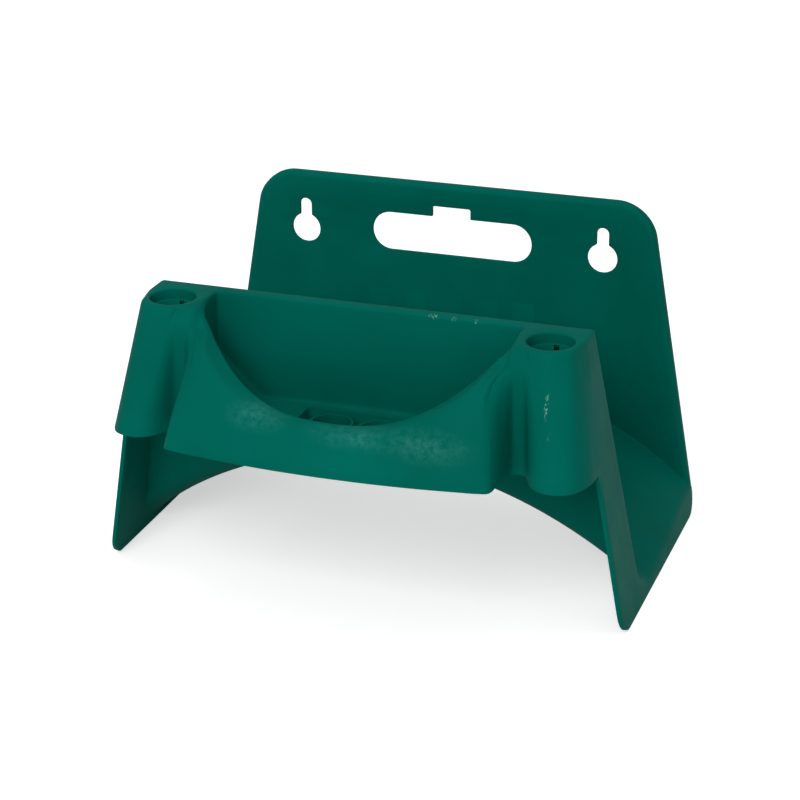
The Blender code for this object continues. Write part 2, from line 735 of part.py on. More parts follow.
def pocket_half(z):
    """Half width of the pocket at its back wall: upright, then drawn in."""
    if z > POCKET_BEND_Z:
        return POCKET_HALF - 0.0018 * (DECK_Z - z) / (DECK_Z - POCKET_BEND_Z)
    share = (POCKET_BEND_Z - z) / (POCKET_BEND_Z - POCKET_FLOOR_Z)
    return POCKET_HALF - 0.0018 - (POCKET_HALF - 0.0018 - POCKET_FLOOR_HALF) * share


def build_pocket_back():
    levels = [DECK_UNDER, POCKET_BEND_Z, POCKET_FLOOR_Z - FLOOR_T]
    outer, inner = [], []
    for z in levels:
        half = pocket_half(max(z, POCKET_FLOOR_Z)) + BOWL_T
        row = spread(-half, half, 3)
        outer.append([(x, pocket_back(z), z) for x in row])
        inner.append([(x, pocket_back(z) + BOWL_T, z) for x in row])
    sheet("pocket_back", outer, inner)


def bowl_top_curve():
    """Plan of the pocket's inner face along the rim, as X and distance from its back wall."""
    points = [(POCKET_HALF, GAP), (POCKET_HALF, 0.008), (POCKET_HALF - 0.0004, 0.0155)]
    inset = 2 * GAP + BOWL_T
    for t in (11.95, 12.5, 13.0, 13.5, 14.0, 14.5, 15.0, 15.5, LAST_STATION):
        _, inner = skirt_wall(t, 0.0, DECK_UNDER)
        ahead = skirt_wall(min(t + 0.1, LAST_STATION), 0.0, DECK_UNDER)[1]
        behind = skirt_wall(t - 0.1, 0.0, DECK_UNDER)[1]
        run = ahead - behind
        inward = Vector((run.y, -run.x, 0)).normalized()
        if inward.y < 0:
            inward = -inward
        place = inner + inward * inset
        points.append((max(place.x, 0.0) if t < LAST_STATION else 0.0, pocket_back(place.z) - place.y))
    return points


def bowl_floor_curve(count):
    """The same at the floor: a squared-off half oval."""
    power = 2 / 2.4
    points = []
    for k in range(count):
        angle = math.pi / 2 * k / (count - 1)
        points.append((POCKET_FLOOR_HALF * math.cos(angle) ** power,
                       GAP + (POCKET_FLOOR_REACH - GAP) * math.sin(angle) ** power))
    return points


def bowl_share(z):
    """How far the pocket has drawn in at a height."""
    if z > POCKET_BEND_Z:
        return 0.06 * (DECK_Z - z) / (DECK_Z - POCKET_BEND_Z)
    return 0.06 + 0.94 * (POCKET_BEND_Z - z) / (POCKET_BEND_Z - POCKET_FLOOR_Z)


def bowl_point(t, w):
    top, low = spline(BOWL_TOP, t), spline(BOWL_LOW, t)
    z_top = min(DECK_UNDER, rim_height(top[0]) - 0.0002)
    z = z_top + (POCKET_FLOOR_Z - FLOOR_T - z_top) * w
    start = bowl_share(z_top)
    share = (bowl_share(max(z, POCKET_FLOOR_Z)) - start) / (1 - start)
    x, reach = [a + (b - a) * share for a, b in zip(top, low)]
    return Vector((x, pocket_back(z) - reach, z))


BOWL_TOP = bowl_top_curve()
BOWL_LOW = bowl_floor_curve(len(BOWL_TOP))


def bowl_grids(side, first, last, columns, rows):
    inner, outer = [], []
    end = len(BOWL_TOP) - 1
    for t in spread(first, last, columns):
        inner_row, outer_row = [], []
        for w in spread(0, 1, rows):
            here = bowl_point(t, w)
            run = bowl_point(min(t + 0.02, end), w) - bowl_point(max(t - 0.02, 0.0), w)
            plan = Vector((-run.y, run.x, 0)).normalized()
            if t > end - 0.02:
                plan = Vector((0, -1, 0))
            elif t < 0.02:
                plan = Vector((1, 0, 0))
            elif plan.dot(Vector((here.x, here.y + 0.03, 0))) < 0:
                plan = -plan
            away = here + plan * BOWL_T
            away.y = min(away.y, pocket_back(away.z) - GAP)
            inner_row.append((side * here.x, here.y, here.z))
            outer_row.append((side * away.x, away.y, away.z))
        inner.append(inner_row)
        outer.append(outer_row)
    return inner, outer


def build_bowl():
    """End walls and front wall of the pocket."""
    end = len(BOWL_TOP) - 1
    part_at = 3.0
    shift = 0.03
    for name, side in (("left", -1), ("right", 1)):
        sheet("pocket_end_" + name, *bowl_grids(side, 0.0, part_at - shift, 17, 11))
    right = bowl_grids(1, part_at + shift, end, 27, 9)
    left = bowl_grids(-1, part_at + shift, end, 27, 9)
    sheet("pocket_front", right[0] + left[0][-2::-1], right[1] + left[1][-2::-1])


def build_pocket_floor():
    """Floor with a rectangular well, and two ring bosses that stand in the well."""
    top, under = POCKET_FLOOR_Z, POCKET_FLOOR_Z - FLOOR_T
    back = pocket_back(under)
    outline = [(x * (1 - 0.0006 / POCKET_FLOOR_HALF), back - reach + 0.0006) for x, reach in BOWL_LOW]
    outline[0] = (outline[0][0], back - 2 * GAP)
    shape = outline + [(-x, y) for x, y in outline[-2::-1]]
    floor = prism("pocket_floor", [(x, y, top) for x, y in shape], [(x, y, under) for x, y in shape])
    well_back, well_front = back - WELL_BACK, back - WELL_FRONT
    tray = rounded([(-WELL_HALF, well_back, 0.002), (WELL_HALF, well_back, 0.002),
                    (WELL_HALF, well_front, 0.006), (-WELL_HALF, well_front, 0.006)], 4)
    cut(floor, cutter("cut_well", [(p.x, p.y, top + 0.003) for p in tray], [(p.x, p.y, under - 0.003) for p in tray]))
    foot = POCKET_FLOOR_Z - WELL_DEPTH
    inset = GAP + BOWL_T
    outer = rounded([(-WELL_HALF + GAP, well_back - GAP, 0.002), (WELL_HALF - GAP, well_back - GAP, 0.002),
                     (WELL_HALF - GAP, well_front + GAP, 0.006), (-WELL_HALF + GAP, well_front + GAP, 0.006)], 4)
    well = prism("pocket_well", [(p.x, p.y, top) for p in outer], [(p.x, p.y, foot - BOWL_T) for p in outer])
    inner = rounded([(-WELL_HALF + inset, well_back - inset, 0.001), (WELL_HALF - inset, well_back - inset, 0.001),
                     (WELL_HALF - inset, well_front + inset, 0.004), (-WELL_HALF + inset, well_front + inset, 0.004)], 4)
    cut(well, cutter("cut_well_inside", [(p.x, p.y, top + 0.003) for p in inner], [(p.x, p.y, foot) for p in inner]))
    ring_y = well_back - RING_BACK - RING_R / 2
    for name, side in (("left", -1), ("right", 1)):
        centre = side * RING_X
        hole = [(centre + (RING_R - RING_T) * math.cos(a), ring_y + (RING_R - RING_T) * math.sin(a))
                for a in spread(0, 2 * math.pi, 33)[:-1]]
        cut(well, cutter("cut_ring_" + name, [(x, y, foot + 0.002) for x, y in hole],
                         [(x, y, foot - 2 * BOWL_T) for x, y in hole]))
        build_ring("well_ring_" + name, centre, ring_y, foot + GAP, top - 0.0015)


def build_ring(name, x, y, low, high):
    points, faces = [], []
    profile = [(RING_R, high), (RING_R, low), (RING_R - RING_T, low), (RING_R - RING_T, high)]
    turns = 32
    for k in range(turns):
        angle = 2 * math.pi * k / turns
        points += [(x + r * math.cos(angle), y + r * math.sin(angle), z) for r, z in profile]
    for k in range(turns):
        for i in range(4):
            j, n = (i + 1) % 4, (k + 1) % turns
            faces.append([k * 4 + i, k * 4 + j, n * 4 + j, n * 4 + i])
    new_object(name, points, faces)


def main():
    for obj in list(bpy.data.objects):
        bpy.data.objects.remove(obj)
    build_back_panel()
    build_rims()
    build_panel_ribs()
    build_saddle()
    build_sides()
    build_lip_wall()
    build_skirts()
    build_decks()
    build_socket_tubes()
    build_pocket_back()
    build_bowl()
    build_pocket_floor()


main()
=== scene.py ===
"""Looks of the wall hose hanger: one satin dark green moulding on a pale floor.

Metres, +Z up, +Y towards the wall, X = 0 the plane of symmetry, as in the CAD part.
"""
import functools
import json
import math

import bmesh
import bpy
from mathutils import Matrix, Vector

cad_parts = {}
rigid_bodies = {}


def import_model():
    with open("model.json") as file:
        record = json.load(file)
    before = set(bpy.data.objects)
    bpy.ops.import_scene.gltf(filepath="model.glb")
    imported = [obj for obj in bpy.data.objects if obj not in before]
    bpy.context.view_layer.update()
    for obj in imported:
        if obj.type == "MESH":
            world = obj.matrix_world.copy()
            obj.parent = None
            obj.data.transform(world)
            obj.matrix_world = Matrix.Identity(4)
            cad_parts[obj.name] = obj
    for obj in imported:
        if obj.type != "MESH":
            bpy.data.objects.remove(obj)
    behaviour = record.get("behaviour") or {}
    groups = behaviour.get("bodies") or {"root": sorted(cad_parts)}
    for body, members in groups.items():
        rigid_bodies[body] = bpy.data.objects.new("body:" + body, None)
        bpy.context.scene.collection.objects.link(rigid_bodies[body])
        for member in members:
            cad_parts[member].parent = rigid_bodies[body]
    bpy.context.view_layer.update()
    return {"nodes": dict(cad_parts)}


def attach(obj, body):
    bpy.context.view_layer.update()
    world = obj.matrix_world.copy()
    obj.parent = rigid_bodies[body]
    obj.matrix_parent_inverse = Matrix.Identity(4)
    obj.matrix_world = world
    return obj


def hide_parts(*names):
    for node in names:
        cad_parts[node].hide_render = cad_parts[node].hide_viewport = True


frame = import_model()

# Overall shape
HEIGHT = 0.184
TOP_HALF_WIDTH = 0.117
FLARE = 0.171
WALL_Y = 0.11225
PANEL_Y = 0.10625
WALL_T = 0.0021

# Back panel
PANEL_CORNER_R = 0.0235
PANEL_EDGE_R = 0.0036
PANEL_T = 0.0024
PANEL_OVERLAP = 0.002
HEEL_R = 0.0135
HEEL_RISE = 0.006
HEEL_INSET = 0.0004
KEYHOLE = (0.09, 0.150)
KEYHOLE_R = 0.0087
KEYHOLE_SLOT_W = 0.007
KEYHOLE_SLOT_RISE = 0.018
HAND_SLOT_HALF = 0.0482
HAND_SLOT_H = 0.0228
HAND_SLOT_Z = 0.1533
NOTCH_HALF = 0.0114
NOTCH_RISE = 0.0062
NOTCH_CORNER_R = 0.001
RIB_COUNT = 5
RIB_PITCH = 0.022
RIB_W = 0.0133
RIB_T = 0.0009
RIB_TOP_Z = 0.1285
RIB_SINK = 0.0002
RIB_ROOT = 0.001

# Saddle, and the lip wall that rises from it
CHANNEL = 0.13375
SADDLE_R = 0.2175
SADDLE_CROWN_Z = 0.0725
SADDLE_TILT = 0.0925
SADDLE_END_R = 0.010
ARCH_DROP = 0.01125
ARCH_R = 0.225
DECK_Z = 0.1595
LIP_LEAN = 0.09
LIP_FOOT_R = 0.021
LIP_TOP_Y = PANEL_Y - CHANNEL
LIP_EDGE = 0.0009
LIP_EDGE_GROWTH = 0.0008
SEAM_FILLET = 0.0016

# Strips at the sides, in front of the channel
STRIP_FRONT_TOP = 0.0433
STRIP_FRONT_SKIRT = 0.0571
STRIP_FRONT_FOOT = 0.0555
STRIP_FOOT_R = 0.013
STRIP_CORNER_R = 0.0018

# Towers and their sockets
SOCKET = (0.10425, -0.0501)
SOCKET_R = 0.0123
SOCKET_LEDGE = 0.0012
SOCKET_LEDGE_DEPTH = 0.006
SOCKET_DEPTH = 0.022
SOCKET_EDGE = 0.001
SLIT_HALF = 0.0011
TOWER_R = 0.017
TOWER_ANGLES = (-40, -75, -110)
TOWER_FOOT = (0.1155, -0.0728)
TOWER_FOOT_R = 0.0147
SKIRT_FOOT_Z = 0.092
VALLEY_X = 0.0925
VALLEY_FOOT_Y = -0.0686
SHOULDER_DIP = 0.001
DECK_EDGE = 0.0017
DECK_EDGE_GROWTH = 0.0005

# Apron in front of the pocket, and the rim between them
APRON_FOOT_Z = 0.0958
APRON_HALF = 0.0893
APRON_SHARES = (0.93, 0.82, 0.56, 0.28, 0.0)
TOP_BRIDGE = (0.2, 0.34, 0.48, 0.6, 0.7, 0.8, 0.89)
APRON_FOOT_Y = -0.11225
APRON_TOP_Y = -0.0663
APRON_FOOT_BOW = 1.0
APRON_TOP_BOW = 1.45
RIM_LOW_Z = 0.11775
RIM_RISE = 0.03625
RIM_SPAN = 0.08375
RIM_POWER = 2.6
RIM_WIDTH = 0.0046
RIM_EDGE = 0.0026
RIM_MEETING = 0.44
RIM_EASE = 0.003
SHOULDER_SHARE = 0.195
SHOULDER_ROLL = 1.8
SHOULDER_BRIDGE = (0.16, 0.29, 0.45, 0.6, 0.72, 0.82, 0.91)
SWELL_OUT = 0.012
SWELL_IN = 0.008
SWELL_ONSET = 0.065
SWELL_SIDE_ONSET = 0.13
SWELL_START = 0.185
SWELL_MIDDLE = 0.35

# Pocket
POCKET_HALF = 0.0857
POCKET_FLOOR_HALF = 0.0612
POCKET_FLOOR_Z = 0.1025
POCKET_BEND_Z = 0.1262
POCKET_BACK_Y = -0.0342
POCKET_FLOOR_REACH = 0.0475
POCKET_CORNER_R = 0.0024
POCKET_EDGE = 0.0018
POCKET_END_EDGE = 0.0022
POCKET_FOOT_R = 0.003
POCKET_LEAN = 0.085
POCKET_LEAN_LOST = 0.07
POCKET_BEND_SOFT = 0.004
POCKET_BEND_SHARE = 0.06
POCKET_START = 0.0003
OVAL_POWER = 2 / 2.4
WELL_HALF = 0.0315
WELL_BACK = 0.0035
WELL_FRONT = 0.038
WELL_DEPTH = 0.0075
WELL_CORNER_R = 0.0035

# Rows and columns of the grids
ARC_COLUMNS, BEND_COLUMNS = 28, 9
EDGE_STEPS, UPPER_ROWS, LOWER_ROWS, SADDLE_ROWS = 5, 18, 6, 12
KNEE_ROWS, WALL_ROWS = 6, 18
FILLET_ROWS, SEAM_ROWS, CORNER_ROWS = 12, 4, 7
SIDE_COLUMNS, BACK_COLUMNS, CORNER_COLUMNS, END_COLUMNS, RIM_COLUMNS = 9, 22, 5, 6, 5

# Finish: centre and reach of each rubbed patch, which also carries painted highlight, and of each spot of
# light chips
SCUFFS_AND_HIGHLIGHTS = (
    ((0.017, -0.100, 0.1155), (0.030, 0.012, 0.008)),
    ((0.054, -0.100, 0.1150), (0.030, 0.012, 0.011)),
    ((-0.037, -0.097, 0.1190), (0.020, 0.014, 0.010)),
)
CHIPS = (
    ((0.0365, -0.0335, 0.1590), (0.0035, 0.002, 0.002)),
    ((0.0475, -0.0335, 0.1588), (0.0016, 0.002, 0.0016)),
    ((0.0594, -0.0335, 0.1588), (0.0016, 0.002, 0.0016)),
    ((0.1093, -0.0745, 0.1340), (0.0013, 0.006, 0.0090)),
    ((0.1120, -0.0765, 0.1190), (0.0010, 0.006, 0.0030)),
    ((-0.118, -0.0620, 0.1390), (0.0030, 0.008, 0.0040)),
)
DEEP_GREEN = (0.0001, 0.104, 0.076, 1)
FRESH_GREEN = (0.0002, 0.130, 0.099, 1)
GRAIN_GREEN = (0.008, 0.16, 0.13, 1)
# Paler green of the scuffs, partly wear and partly painted highlight on the apron below the rim
RUBBED_AND_HIGHLIGHT_GREEN = (0.05, 0.27, 0.24, 1)
CHIP_GREEN = (0.30, 0.62, 0.56, 1)

# Camera of the photograph, in metres, radians and millimetres of lens
CAMERA_PLACE = (0.39108, -1.08630, 0.57717)
CAMERA_TURN, CAMERA_TIP, CAMERA_ROLL = 0.341, 0.3967, -0.0076
CAMERA_LENS, CAMERA_SENSOR = 102.84, 36


def half_width(z):
    """Half of the part's width at a height."""
    return TOP_HALF_WIDTH + FLARE * (HEIGHT - z)


def lip_back(z):
    """Y of the lip wall's face towards the channel."""
    return LIP_TOP_Y + LIP_LEAN * (DECK_Z - z)


def crown_height(y):
    """Height of the saddle's crown, which rises towards the panel."""
    return SADDLE_CROWN_Z - SADDLE_TILT * (PANEL_Y - y)


def spread(low, high, count):
    """Evenly spaced numbers from low to high."""
    return [low + (high - low) * k / (count - 1) for k in range(count)]


def smooth(share):
    """Ease from 0 to 1 as the share goes from 0 to 1."""
    share = min(max(share, 0.0), 1.0)
    return share * share * (3 - 2 * share)


def soft_step(value, ease):
    """The value where it is positive and otherwise 0, with a soft bend between the two."""
    if value <= -ease:
        return 0.0
    if value >= ease:
        return value
    return (value + ease) ** 2 / (4 * ease)


def mix(a, b, share):
    """Point at a share of the way from a to b."""
    return [p + (q - p) * share for p, q in zip(a, b)]


def round_over(start, corner, end, count):
    """Points of a soft curve from start to end that bends towards the corner."""
    return [mix(mix(start, corner, f), mix(corner, end, f), f) for f in spread(0, 1, count)]


def spline(points, t):
    """Smooth curve through points, read at a real-numbered station."""
    last = len(points) - 1
    t = min(max(t, 0.0), last)
    i = min(int(t), last - 1)
    f = t - i
    p1, p2 = points[i], points[i + 1]
    p0 = points[i - 1] if i > 0 else [2 * a - b for a, b in zip(p1, p2)]
    p3 = points[i + 2] if i + 2 <= last else [2 * a - b for a, b in zip(p2, p1)]
    return [0.5 * (2 * b + (c - a) * f + (2 * a - 5 * b + 4 * c - d) * f * f
                   + (3 * b - a - 3 * c + d) * f ** 3)
            for a, b, c, d in zip(p0, p1, p2, p3)]


# Saddle, lip wall and sides

def saddle_section(crown):
    """X and Z from the saddle's crown to the end of its bend into the side."""
    slope = math.atan(FLARE)
    span = SADDLE_R - SADDLE_END_R
    reach = half_width(0.0) * math.cos(slope) - SADDLE_END_R - (crown - SADDLE_R) * math.sin(slope)
    angle = math.asin(reach / span) - slope
    section = [(SADDLE_R * math.sin(a), crown - SADDLE_R + SADDLE_R * math.cos(a))
               for a in spread(0.0, angle, ARC_COLUMNS)]
    for a in spread(angle, math.pi / 2 - slope, BEND_COLUMNS)[1:]:
        section.append((span * math.sin(angle) + SADDLE_END_R * math.sin(a),
                        crown - SADDLE_R + span * math.cos(angle) + SADDLE_END_R * math.cos(a)))
    return section


def lip_fillet(height):
    """Y and Z round the lip wall's foot, down to the saddle of that height at Y = 0."""
    lean, tilt = math.hypot(1, LIP_LEAN), math.hypot(1, SADDLE_TILT)
    wall = LIP_TOP_Y + LIP_LEAN * DECK_Z + LIP_FOOT_R * lean
    floor = height + LIP_FOOT_R * tilt
    y = (wall - LIP_LEAN * floor) / (1 + LIP_LEAN * SADDLE_TILT)
    z = floor + SADDLE_TILT * y
    start, end = math.atan(LIP_LEAN) - math.pi, math.atan(SADDLE_TILT) - math.pi / 2
    return [(y + LIP_FOOT_R * math.cos(a), z + LIP_FOOT_R * math.sin(a))
            for a in spread(start, end, FILLET_ROWS)]


def rear_column(i):
    """Points of column i from the deck down the lip wall and back over the saddle."""
    foot_x, height = saddle_section(crown_height(0.0))[i]
    bend_x = saddle_section(crown_height(0.0))[ARC_COLUMNS - 1][0]
    share = foot_x / half_width(height)
    turn = math.pi / 2 * max(i - ARC_COLUMNS + 1, 0) / (BEND_COLUMNS - 1)
    radius = STRIP_CORNER_R

    def on_wall(y, z):
        if i < ARC_COLUMNS:
            return [foot_x / bend_x * (half_width(z) - radius), y, z]
        middle = half_width(z) - radius
        return [middle + radius * math.sin(turn), y - radius + radius * math.cos(turn), z]

    edge = LIP_EDGE + LIP_EDGE_GROWTH * math.sin(turn)
    corner = on_wall(lip_back(DECK_Z), DECK_Z)
    flat = [corner[0] - edge * math.sin(turn), corner[1] - edge * math.cos(turn), DECK_Z]
    start = on_wall(lip_back(DECK_Z - edge), DECK_Z - edge)
    rows = round_over(flat, corner, start, EDGE_STEPS)
    for z in spread(DECK_Z - edge, SKIRT_FOOT_Z, UPPER_ROWS)[1:]:
        rows.append(on_wall(lip_back(z), z))
    fillet = lip_fillet(height)
    for z in spread(SKIRT_FOOT_Z, fillet[0][1], LOWER_ROWS)[1:-1]:
        rows.append(on_wall(lip_back(z), z))
    for k, (y, z) in enumerate(fillet):
        rows.append(mix(on_wall(y, z), [share * half_width(z), y, z], smooth(k / (len(fillet) - 1))))
    end_y = PANEL_Y - SEAM_FILLET
    for y in spread(fillet[-1][0], end_y, SADDLE_ROWS)[1:]:
        x, z = saddle_section(crown_height(y))[i]
        rows.append([x, y, z])
    return rows


def rear_columns():
    """Columns of the channel's face, each with a small fillet up the panel."""
    columns = []
    for i in range(ARC_COLUMNS + BEND_COLUMNS - 1):
        rows = rear_column(i)
        x, y, z = rows[-1]
        end = [x, PANEL_Y + SEAM_FILLET / 4, z + SEAM_FILLET]
        columns.append(rows + round_over(rows[-1], [x, PANEL_Y, z], end, SEAM_ROWS)[1:])
    return columns


def side_columns(front):
    """Columns of the side plane, between the window's edge and the outer edge."""
    inner = rear_column(ARC_COLUMNS + BEND_COLUMNS - 2)
    shared = EDGE_STEPS + UPPER_ROWS - 1
    outer = list(front[:shared])

    def at(y, z):
        return [half_width(z), y, z]

    below = len(inner) - shared
    foot = []
    for f in spread(0, 1, 5)[1:-1]:
        foot.append(mix((-STRIP_FRONT_SKIRT, SKIRT_FOOT_Z), (-STRIP_FRONT_FOOT, STRIP_FOOT_R), f))
    foot.append((-STRIP_FRONT_FOOT, STRIP_FOOT_R))
    for a in spread(0, math.pi / 2, CORNER_ROWS)[1:]:
        y = -STRIP_FRONT_FOOT + STRIP_FOOT_R * (1 - math.cos(a))
        foot.append((y, STRIP_FOOT_R * (1 - math.sin(a))))
    start = foot[-1][0]
    for y in spread(start, WALL_Y - HEEL_R, below - len(foot) + 1)[1:]:
        foot.append((y, 0.0))
    outer += [at(y, z) for y, z in foot]
    _, end_y, low = inner[-1]
    rounded_y = PANEL_Y + PANEL_EDGE_R
    for k, a in enumerate(spread(0, math.pi / 2, CORNER_ROWS)[1:], 1):
        outer.append(at(WALL_Y - HEEL_R + HEEL_R * math.sin(a), HEEL_R * (1 - math.cos(a))))
        y = end_y + (WALL_Y - end_y) * k / (CORNER_ROWS - 1)
        rise = smooth((y - end_y) / (rounded_y - end_y))
        rise *= 1 - smooth((y - rounded_y) / (WALL_Y - rounded_y))
        x, y, z = at(y, low + HEEL_RISE * rise)
        inner.append([x - HEEL_INSET * smooth((y - PANEL_Y - 0.002) / 0.0015), y, z])
    return [[mix(a, b, f) for a, b in zip(inner, outer)] for f in spread(0, 1, SIDE_COLUMNS)]


# Towers, valleys and apron

def on_circle(centre, radius, degrees):
    """Plan point of a round tower at an angle."""
    angle = math.radians(degrees)
    return centre[0] + radius * math.cos(angle), centre[1] + radius * math.sin(angle)


def skirt_stations(foot):
    """Plan points of the skirt's face at its top or at its foot."""
    if foot:
        centre, radius = TOWER_FOOT, TOWER_FOOT_R
        start_y, valley_y, z = -STRIP_FRONT_SKIRT, VALLEY_FOOT_Y, SKIRT_FOOT_Z
        low, bow = APRON_FOOT_Y, APRON_FOOT_BOW
    else:
        centre, radius = SOCKET, TOWER_R
        start_y, z = -STRIP_FRONT_TOP, DECK_Z
        low, bow = APRON_TOP_Y, APRON_TOP_BOW
    side_x = half_width(z)
    shoulder_y = (start_y + centre[1] - radius) / 2
    points = [(side_x, start_y), (side_x - 0.0012, shoulder_y + (0.002 if foot else 0.004))]
    points += [on_circle(centre, radius, degrees) for degrees in TOWER_ANGLES]
    apron = [(f * APRON_HALF, low + bow * (f * APRON_HALF) ** 2) for f in APRON_SHARES]
    if foot:
        points.append(on_circle(centre, radius, -145))
        points.append(((centre[0] - radius + VALLEY_X) / 2 + 0.001, 0.35 * centre[1] + 0.65 * valley_y))
        points.append((VALLEY_X, valley_y))
        corner_y = low + bow * APRON_HALF ** 2
        reach = corner_y - valley_y
        points.append((APRON_HALF + 0.0005, valley_y + 0.08 * reach))
        points.append((APRON_HALF, valley_y + 0.40 * reach))
        points.append((APRON_HALF + 0.0003, valley_y + 0.78 * reach))
        points.append((APRON_HALF - 0.0010, corner_y + 0.0010))
    else:
        first, last = points[-1], apron[0]
        for f in TOP_BRIDGE:
            x, y = mix(first, last, f)
            points.append((x, y + SHOULDER_DIP * math.sin(math.pi * f)))
    return points + apron


def shoulder_stations():
    """Plan points at the shoulder's height, straight across from each tower to the apron's end."""
    level = [mix(a, b, SHOULDER_SHARE) for a, b in zip(TOP_STATIONS, FOOT_STATIONS)]
    return level[:5] + [mix(level[4], level[12], f) for f in SHOULDER_BRIDGE] + level[12:]


TOP_STATIONS = skirt_stations(False)
FOOT_STATIONS = skirt_stations(True)
SHOULDER_STATIONS = shoulder_stations()
LAST_STATION = len(TOP_STATIONS) - 1
SHOULDER_STATION = 7.0


def rim_height(x):
    """Height of the pocket's rim, eased into the deck."""
    return DECK_Z - soft_step(DECK_Z - RIM_LOW_Z - RIM_RISE * (abs(x) / RIM_SPAN) ** RIM_POWER, RIM_EASE)


def skirt_frame(t, s):
    """Point of the skirt's face before it swells: station t, share s of the way down."""
    foot_z = SKIRT_FOOT_Z + (APRON_FOOT_Z - SKIRT_FOOT_Z) * smooth((t - 7.5) / 2.5)
    flute = smooth((t - 4.0) / 1.5) * (1 - smooth((t - 8.5) / 2.5))
    side = smooth((t - 7.5) / 1.5) * (1 - smooth(t - 11.0))
    shoulder = spline(SHOULDER_STATIONS, t)
    if s < SHOULDER_SHARE:
        share = 1 - (1 - max(s, 0.0) / SHOULDER_SHARE) ** (1 + (SHOULDER_ROLL - 1) * flute)
        x, y = mix(spline(TOP_STATIONS, t), shoulder, share)
    else:
        share = (s - SHOULDER_SHARE) / (1 - SHOULDER_SHARE)
        root = math.sqrt(1.01) - 0.1
        share += side * ((math.sqrt(share + 0.01) - 0.1) / root - share)
        x, y = mix(shoulder, spline(FOOT_STATIONS, t), share)
    return [x, y, DECK_Z - s * (DECK_Z - foot_z)]


@functools.lru_cache(maxsize=None)
def skirt_top(t):
    """Share of the way down at which the skirt meets the rim."""
    s = 0.0
    for _ in range(40):
        x, _, z = skirt_frame(t, s)
        foot_z = skirt_frame(t, 1.0)[2]
        s = 0.5 * s + 0.5 * (DECK_Z - rim_height(x)) / (DECK_Z - foot_z)
    return s


def skirt_surface(t, s):
    """Point of the skirt's face, full below the rim at the apron's ends."""
    x, y, z = skirt_frame(t, s)
    top = skirt_top(t)
    start = max(top, SWELL_START)
    below = min(max(s - start, 0.0) / (1 - start), 1.0)
    onset = 1 - math.exp(-below / SWELL_ONSET)
    out = smooth(t - 11.0) - (1 - SWELL_MIDDLE) * smooth((t - 12.5) / 3.5)
    across = smooth((t - 8.0) / 3.0) * (1 - smooth((t - 12.0) / 3.0))
    return [x - SWELL_IN * across * (1 - math.exp(-below / SWELL_SIDE_ONSET)) * (1 - below) ** 1.3,
            y - SWELL_OUT * out * onset * (1 - below) ** 0.65, z]


def inward(t):
    """Plan direction from the skirt's face into the part."""
    ahead, behind = spline(TOP_STATIONS, t + 0.05), spline(TOP_STATIONS, t - 0.05)
    if t > LAST_STATION - 0.1:
        return Vector((0, 1, 0))
    return Vector((ahead[1] - behind[1], behind[0] - ahead[0], 0)).normalized()


def onto_rim(t):
    """0 on the deck, easing to 1 where the rim alone is between the skirt and the pocket."""
    return smooth((t - SHOULDER_STATION) / 2.5)


def front_rows(t):
    """Points from the flat of the deck over its edge and down the skirt."""
    top = skirt_top(t)
    corner = Vector(skirt_surface(t, top))
    length = (Vector(skirt_surface(t, 1.0)) - corner).length / (1 - top)
    if t < 0.01:
        length = DECK_Z - SKIRT_FOOT_Z
    edge = DECK_EDGE + DECK_EDGE_GROWTH * smooth(t)
    flat = corner + inward(t) * edge
    if t > SHOULDER_STATION:
        across = Vector(pocket_edge(t)) - corner
        flat = flat.lerp(corner + across * RIM_MEETING, onto_rim(t))
        edge = edge + (RIM_EDGE - edge) * onto_rim(t)
    start = top + edge / length
    for _ in range(12):
        gone = (Vector(skirt_surface(t, start)) - corner).length
        start = top + (start - top) * edge / gone if t > 0.01 else start
    rows = round_over(list(flat), list(corner), skirt_surface(t, start), EDGE_STEPS)
    knee = max(SWELL_START, start + 0.035)
    for s in spread(start, knee, KNEE_ROWS + 1)[1:]:
        rows.append(skirt_surface(t, s))
    for f in spread(0.0, 1.0, UPPER_ROWS - KNEE_ROWS)[1:]:
        rows.append(skirt_surface(t, knee + (1 - knee) * f ** 1.4))
    return rows


# Pocket

def pocket_back(z):
    """Y of the pocket's back wall: it leans above the bend and stands below it."""
    lower = soft_step(POCKET_BEND_Z - z, POCKET_BEND_SOFT)
    return POCKET_BACK_Y - POCKET_LEAN * (DECK_Z - z) + POCKET_LEAN_LOST * lower


def draw_in(z):
    """How far the pocket's plan has drawn in at a height."""
    z = max(z, POCKET_FLOOR_Z)
    if z > POCKET_BEND_Z:
        return POCKET_BEND_SHARE * (DECK_Z - z) / (DECK_Z - POCKET_BEND_Z)
    lower = (POCKET_BEND_Z - z) / (POCKET_BEND_Z - POCKET_FLOOR_Z)
    return POCKET_BEND_SHARE + (1 - POCKET_BEND_SHARE) * lower


def pocket_top_curve():
    """Plan of the pocket's face along its rim, as X and reach from its back wall."""
    points = [(POCKET_HALF, POCKET_START), (POCKET_HALF, 0.008), (POCKET_HALF - 0.0004, 0.0155)]
    for t in (11.95, 12.5, 13.0, 13.5, 14.0, 14.5, 15.0, 15.5, LAST_STATION):
        here = Vector(skirt_surface(t, skirt_top(t)))
        place = here + inward(t) * RIM_WIDTH
        points.append((max(place.x, 0.0) if t < LAST_STATION else 0.0, pocket_back(place.z) - place.y))
    return points


def pocket_floor_curve(count):
    """The same at the floor: a squared-off half oval."""
    curve = []
    for angle in spread(0, math.pi / 2, count):
        reach = POCKET_START + (POCKET_FLOOR_REACH - POCKET_START) * math.sin(angle) ** OVAL_POWER
        curve.append((POCKET_FLOOR_HALF * math.cos(angle) ** OVAL_POWER, reach))
    return curve


POCKET_TOP = pocket_top_curve()
POCKET_LOW = pocket_floor_curve(len(POCKET_TOP))
# Skirt stations and the pocket stations opposite them
OPPOSITE = ((7.0, 0.8), (8.0, 1.25), (9.0, 1.7), (10.0, 2.2), (11.0, 2.6), (11.95, 3.0), (12.5, 4.0),
            (16.0, 11.0))


